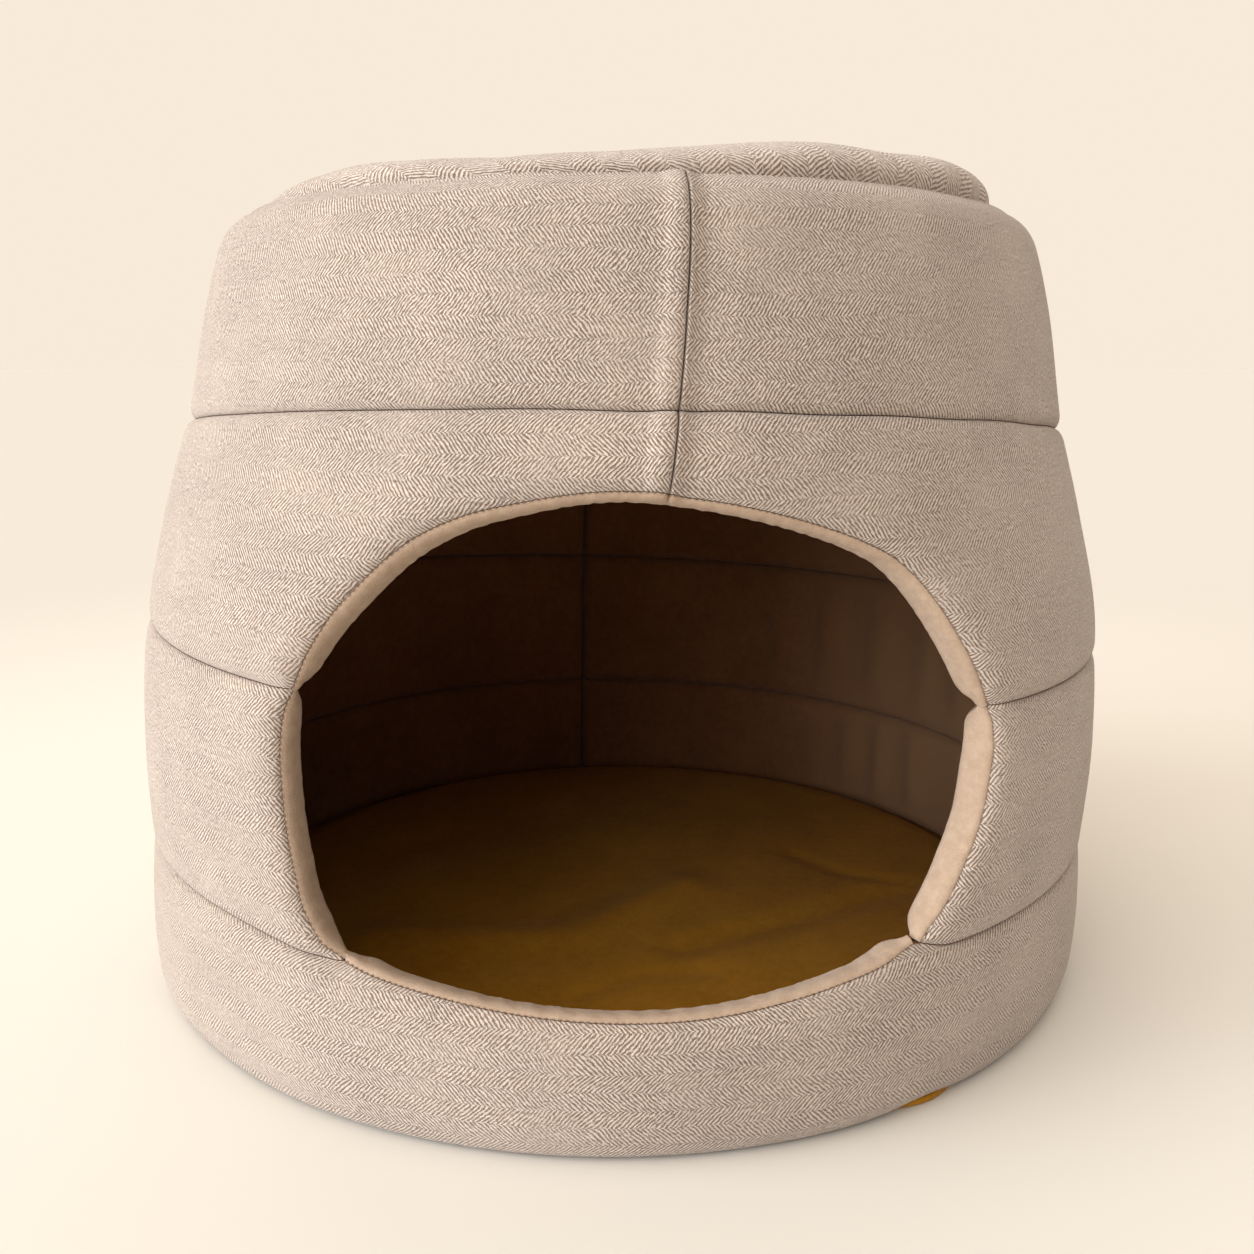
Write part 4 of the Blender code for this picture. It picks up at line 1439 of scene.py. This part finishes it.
class CAVE_OT_stitches(bpy.types.Operator):
    """Sew the row of stitches where each facing strip meets the herringbone"""

    bl_idname = "cave_bed.stitches"
    bl_label = "Facing stitches"

    def execute(self, context):
        chosen = settings_of(context)
        sewing = chosen.sewing
        material = thread_finish()
        for name, number, right, seed, rise in FACING_STRIPS:
            outer, inner = facing_edges(number, sewing, right)
            first, second = paired_run(outer, inner, sewing.stitch)
            _, _, out = facing_grid(first, second, seed, rise)
            in_wall = (second - first) / np.linalg.norm(second - first, axis=1)[:, None]
            places = first + out * STITCH_OUT - in_wall * STITCH_IN
            points = []
            faces = []
            for start, end, way, wall_way in zip(places[:-1], places[1:], out, in_wall):
                ends = (start + (end - start) * share for share in STITCH_SPAN)
                more, sides = capsule(*ends, way - wall_way, sewing.thread)
                faces += [tuple(len(points) + k for k in side_face) for side_face in sides]
                points += more
            piece = build_mesh(f"facing_stitches_{name}", points, faces, material)
            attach(piece, BODY)
        return {"FINISHED"}


def turned(name, section, shape, material, weave=None):
    """A round pad: section runs from its underside's middle to its top's middle, as radius and height.

    shape takes arrays of angle, radius and height, and gives their places.
    """
    section = np.array(section)
    angles = np.arange(TURNS) * FULL_TURN / TURNS
    ring = section[1:-1]
    angle = np.repeat(angles[:, None], len(ring), axis=1)
    radius = np.repeat(ring[None, :, 0], TURNS, axis=0)
    height = np.repeat(ring[None, :, 1], TURNS, axis=0)
    body = shape(angle, radius, height).reshape(-1, 3)
    ends = shape(np.zeros(2), section[[0, -1], 0], section[[0, -1], 1])
    points = np.concatenate((ends[:1], body, ends[1:]))
    per_turn = len(ring)
    top = len(points) - 1
    faces = []
    for k in range(TURNS):
        here = 1 + k * per_turn
        there = 1 + (k + 1) % TURNS * per_turn
        faces.append((0, there, here))
        for j in range(per_turn - 1):
            faces.append((here + j, there + j, there + j + 1, here + j + 1))
        faces.append((here + per_turn - 1, there + per_turn - 1, top))
    flat = None if weave is None else weave(points)
    return build_mesh(name, points, faces, material, flat)


def roof_section():
    """The roof pad from the middle of its underside, round its edge, to the top of its crown."""
    rows = [(radius, -ROOF_UNDERSIDE_DIP) for radius in np.linspace(0.0, ROOF_SEATED_FROM, 20)]
    for share in np.linspace(0.0, 1.0, 6)[1:]:
        seated = ROOF_SEATED_FROM + (ROOF_SEAM_RADIUS - ROOF_SEATED_FROM) * share
        rows.append((seated, -ROOF_UNDERSIDE_DIP * (1 - share)))
    for share in np.linspace(0.0, 1.0, 8)[1:]:
        out = ROOF_SEAM_RADIUS + (ROOF_RADIUS - ROOF_SEAM_RADIUS) * math.sin(share * math.pi / 2)
        rows.append((out, ROOF_EDGE_HEIGHT * share))
    for turn in np.linspace(0.0, 90.0, 64)[1:]:
        across = max(0.0, math.cos(math.radians(turn))) ** (2.0 / ROOF_FULLNESS)
        up = math.sin(math.radians(turn)) ** (2.0 / ROOF_FULLNESS)
        if turn == 90.0:
            across = 0.0
        rows.append((ROOF_RADIUS * across, ROOF_EDGE_HEIGHT + (ROOF_THICKNESS - ROOF_EDGE_HEIGHT) * up))
    return rows


class CAVE_OT_roof(bpy.types.Operator):
    """Build the padded roof"""

    bl_idname = "cave_bed.roof"
    bl_label = "Padded roof"

    def execute(self, context):
        chosen = settings_of(context)
        drift = chosen.sewing.drift

        def place(angle, radius, height):
            turn = np.radians(angle)
            out = radius / ROOF_RADIUS
            seat = RIM + (rim(wrap(angle)) - RIM) * out * out - ROOF_SEAM_DROP + SEAT
            x = radius * np.sin(turn)
            y = -radius * np.cos(turn)
            raised = np.maximum(0.0, height) / ROOF_THICKNESS
            soft = waves_round(ROOF_SOFT_SCALE * x, 91, ROOF_SOFT_ROUND)
            soft = soft * waves_round(ROOF_SOFT_SCALE * y, 92, ROOF_SOFT_ROUND)
            pucker = waves_round(angle, 93, ROOF_PUCKERS_ROUND, 9) * bump(1.0 - out, ROOF_PUCKER_REACH)
            toward_front = (np.hypot(y, ROOF_FALL_EASED) - y - ROOF_FALL_EASED) / 2.0
            z = seat + height + raised * (ROOF_TILT * x - ROOF_FRONT_FALL * toward_front)
            z = z + raised * (drift * soft + along(ROOF_CROWN, x) + ROOF_PUCKER * pucker)
            return np.stack((x + ROOF_SHIFT, y, z), axis=-1)

        section = np.array(roof_section())
        lengths = np.concatenate(([0.0], np.cumsum(np.hypot(*np.diff(section[::-1], axis=0).T))))[::-1]
        heading = math.radians(ROOF_WEAVE_HEADING)

        def flat(points):
            from_middle = np.concatenate((lengths[:1], np.tile(lengths[1:-1], TURNS), lengths[-1:]))
            from_middle = ROOF_WEAVE_SCALE * from_middle
            turn = np.arctan2(points[:, 0] - ROOF_SHIFT, -points[:, 1]) + heading
            across = ROOF_WEAVE_START + from_middle * np.sin(turn)
            return np.stack((across, ROOF_WEAVE_START - from_middle * np.cos(turn)), axis=-1)

        piece = turned("padded_roof", section, place, herringbone_finish(chosen.herringbone), flat)
        # its underside is lined
        piece.data.materials.append(lining_finish(chosen.cloths))
        for face in piece.data.polygons:
            if face.normal.z < ROOF_LINED_UNDER:
                face.material_index = 1
        add_piece(piece, "roof_pad")
        return {"FINISHED"}


class CAVE_OT_cushion(bpy.types.Operator):
    """Build the floor cushion"""

    bl_idname = "cave_bed.cushion"
    bl_label = "Floor cushion"

    def execute(self, context):
        chosen = settings_of(context)
        radius = CUSHION_RADIUS
        shoulder = 1.02 * CUSHION_SIDE
        profile = (
            # radius, height: the side, drawn in at top and bottom
            (radius - CUSHION_TUCK, 0.0),
            (radius - 0.0040, 0.0006),
            (radius - 0.0010, 0.0022),
            (radius, 0.46 * CUSHION_SIDE),
            (radius - 0.0010, 0.72 * CUSHION_SIDE),
            (radius - 0.0050, 0.90 * CUSHION_SIDE),
            (radius - CUSHION_SHOULDER, shoulder),
        )
        rows = [(out, 0.0) for out in np.linspace(0.0, radius - CUSHION_TUCK, 16)[:-1]] + list(profile)
        crown = CUSHION_SIDE + CUSHION_CROWN - shoulder
        for share in np.linspace(0.0, 1.0, 56)[1:]:
            out = (radius - CUSHION_SHOULDER) * (1.0 - share)
            rows.append((out, shoulder + crown * (1.0 - (1.0 - share) ** 2.2)))

        def place(angle, out, height):
            turn = np.radians(angle)
            x = out * np.sin(turn)
            y = -out * np.cos(turn)
            ripple = sum(high * np.sin(by_x * x + by_y * y) for by_x, by_y, high in CUSHION_RIPPLES)
            soft = waves_round(CUSHION_SOFT_SCALE * x, 95, CUSHION_SOFT_ROUND, 5)
            soft = soft * waves_round(CUSHION_SOFT_SCALE * y, 96, CUSHION_SOFT_ROUND, 5)
            lifted = np.minimum(1.0, height / CUSHION_SIDE) * (1.0 - (out / radius) ** 6)
            raised = CUSHION_RIPPLE * ripple + CUSHION_SOFT * soft
            points = np.stack((x.ravel(), y.ravel()), axis=-1)
            for by, reach, line in CUSHION_FOLDS:
                line = np.array(line)
                raised = raised + by * bump(from_lines(points, line[:-1], line[1:]), reach).reshape(x.shape)
            z = BASE + SEAT + height + raised * lifted
            return np.stack((x, y, z), axis=-1)

        piece = turned("suede_cushion", rows, place, cushion_finish(chosen.cloths))
        add_piece(piece, "floor_cushion")
        return {"FINISHED"}


class CAVE_OT_base(bpy.types.Operator):
    """Build the base panel under the wall"""

    bl_idname = "cave_bed.base"
    bl_label = "Base panel"

    def execute(self, context):
        chosen = settings_of(context)
        edge = 0.3 * BASE
        rows = [(0.0, 0.0)] + [(out, 0.0) for out in np.linspace(0.02, BASE_RADIUS - edge, 12)]
        for turn in np.linspace(-90.0, 90.0, 9)[1:-1]:
            away = edge * (1.0 - math.cos(math.radians(turn)))
            rows.append((BASE_RADIUS - away, BASE / 2 + (BASE / 2) * math.sin(math.radians(turn))))
        rows += [(out, BASE) for out in np.linspace(BASE_RADIUS - edge, 0.02, 12)] + [(0.0, BASE)]

        def place(angle, radius, height):
            turn = np.radians(angle)
            shown = bump(wrap(angle) - BASE_SHOWS, BASE_SHOWS_REACH) * (radius / BASE_RADIUS) ** 8
            radius = radius + BASE_SHOWS_BY * shown
            return np.stack((radius * np.sin(turn) + BASE_SHIFT, -radius * np.cos(turn), height), axis=-1)

        piece = turned("base_cloth", rows, place, cushion_finish(chosen.cloths))
        add_piece(piece, "base_panel")
        return {"FINISHED"}


CAMERA_PLACE = (-0.0021, -0.6048, 0.2719)
CAMERA_TURN = (math.radians(90.0 - 11.947), 0.0, -math.radians(0.5425))
KEY_FROM = (-0.95, -0.24, 0.12)
FILL_FROM = (-0.54, -0.80, 0.26)
SURROUND_FRONT = 0.64
SURROUND_LEFT = 0.52
BACKDROP_FROM = 0.80
LEFT_FROM = 0.3
OVERHEAD_FROM = 0.35
FLOOR_RADIUS = 60.0
FLOOR_DROP = 0.0002
# How far from the bed the floor's painted light starts to fade, and has faded: the floor is painted paler by
# the bed, lifting the shade that the bed casts, and darker away, where the far floor meets the surround
FLOOR_PAINTED_LIGHT_FADES = (0.30, 1.20)
SENSOR = 36.0


class CAVE_OT_stage(bpy.types.Operator):
    """Set the pale floor, the soft light and the camera"""

    bl_idname = "cave_bed.stage"
    bl_label = "Stage"

    def execute(self, context):
        chosen = settings_of(context).stage
        scene = context.scene
        scene.view_settings.view_transform = "Standard"
        material, paper, shader = new_finish("floor paper", roughness=1.0, sheen=0.0)
        shader.inputs["Specular IOR Level"].default_value = 0.0
        place = node(paper, "ShaderNodeTexCoord").outputs["Object"]
        away = node(paper, "ShaderNodeVectorMath", {0: place}, operation="LENGTH").outputs["Value"]
        # painted light: the floor's colour fades from the paler near colour, which lifts the bed's shade, to
        # the darker far one
        shade = mixed(paper, ramp(paper, away, *FLOOR_PAINTED_LIGHT_FADES), tuple(chosen.floor), tuple(chosen.floor_away))
        paper.links.new(shade, shader.inputs["Base Color"])
        under = (0.0, 0.0, -FLOOR_DROP)
        bpy.ops.mesh.primitive_circle_add(vertices=64, radius=FLOOR_RADIUS, fill_type="NGON", location=under)
        floor = context.object
        floor.name = "floor"
        floor.data.materials.append(material)
        scene.world = bpy.data.worlds.new("surround")
        scene.world.use_nodes = True
        tree = scene.world.node_tree
        surround = tree.nodes["Background"]
        surround.inputs["Color"].default_value = (*chosen.surround, 1.0)
        way = node(tree, "ShaderNodeTexCoord").outputs["Generated"]
        apart = node(tree, "ShaderNodeSeparateXYZ", {0: way})
        behind = ramp(tree, apart.outputs["Y"], -1.0, BACKDROP_FROM)
        level = maths(tree, "MULTIPLY_ADD", behind, 1.0 - SURROUND_FRONT, SURROUND_FRONT)
        beside = ramp(tree, apart.outputs["Y"], BACKDROP_FROM, LEFT_FROM)
        sideways = maths(tree, "MULTIPLY", apart.outputs["X"], beside)
        level = maths(tree, "MULTIPLY_ADD", sideways, -SURROUND_LEFT, level)
        above = ramp(tree, apart.outputs["Z"], OVERHEAD_FROM, 1.0)
        level = maths(tree, "MULTIPLY_ADD", above, chosen.overhead, level)
        tree.links.new(level, surround.inputs["Strength"])
        lights = (
            ("key", KEY_FROM, chosen.sun, chosen.softness),
            ("fill", FILL_FROM, chosen.fill, chosen.fill_softness),
        )
        for name, from_place, strength, softness in lights:
            light = bpy.data.lights.new(name, "SUN")
            light.energy = strength
            light.angle = softness
            light.color = chosen.sun_colour
            lamp = bpy.data.objects.new(name, light)
            lamp.rotation_mode = "QUATERNION"
            lamp.rotation_quaternion = Vector(from_place).to_track_quat("Z", "Y")
            scene.collection.objects.link(lamp)
        eye = bpy.data.cameras.new("camera")
        eye.sensor_width = SENSOR
        eye.lens = chosen.lens
        camera = bpy.data.objects.new("camera", eye)
        camera.location = CAMERA_PLACE
        camera.rotation_euler = CAMERA_TURN
        scene.collection.objects.link(camera)
        scene.camera = camera
        return {"FINISHED"}


class CAVE_PT_panel(bpy.types.Panel):
    """The cave bed's pieces and their settings"""

    bl_idname = "CAVE_PT_panel"
    bl_label = "Cave bed"
    bl_space_type = "VIEW_3D"
    bl_region_type = "UI"
    bl_category = "Cave bed"

    def draw(self, context):
        chosen = settings_of(context)
        for group in (chosen.herringbone, chosen.cloths, chosen.sewing, chosen.stage):
            box = self.layout.box()
            for name in group.__annotations__:
                box.prop(group, name)
        for operator in OPERATORS:
            self.layout.operator(operator.bl_idname)


SETTINGS = (
    CaveHerringboneSettings,
    CaveLiningSettings,
    CaveSewingSettings,
    CaveStageSettings,
    CaveBedSettings,
)
OPERATORS = (
    CAVE_OT_tiers,
    CAVE_OT_linings,
    CAVE_OT_facings,
    CAVE_OT_stitches,
    CAVE_OT_roof,
    CAVE_OT_cushion,
    CAVE_OT_base,
    CAVE_OT_stage,
)
CLASSES = SETTINGS + OPERATORS + (CAVE_PT_panel,)


def register():
    for made in CLASSES:
        bpy.utils.register_class(made)
    bpy.types.Scene.cave_bed = bpy.props.PointerProperty(type=CaveBedSettings)


def unregister():
    del bpy.types.Scene.cave_bed
    for made in reversed(CLASSES):
        bpy.utils.unregister_class(made)


def main():
    register()
    bpy.ops.cave_bed.tiers()
    bpy.ops.cave_bed.linings()
    bpy.ops.cave_bed.facings()
    bpy.ops.cave_bed.stitches()
    bpy.ops.cave_bed.roof()
    bpy.ops.cave_bed.cushion()
    bpy.ops.cave_bed.base()
    bpy.ops.cave_bed.stage()


if __name__ == "__main__":
    main()
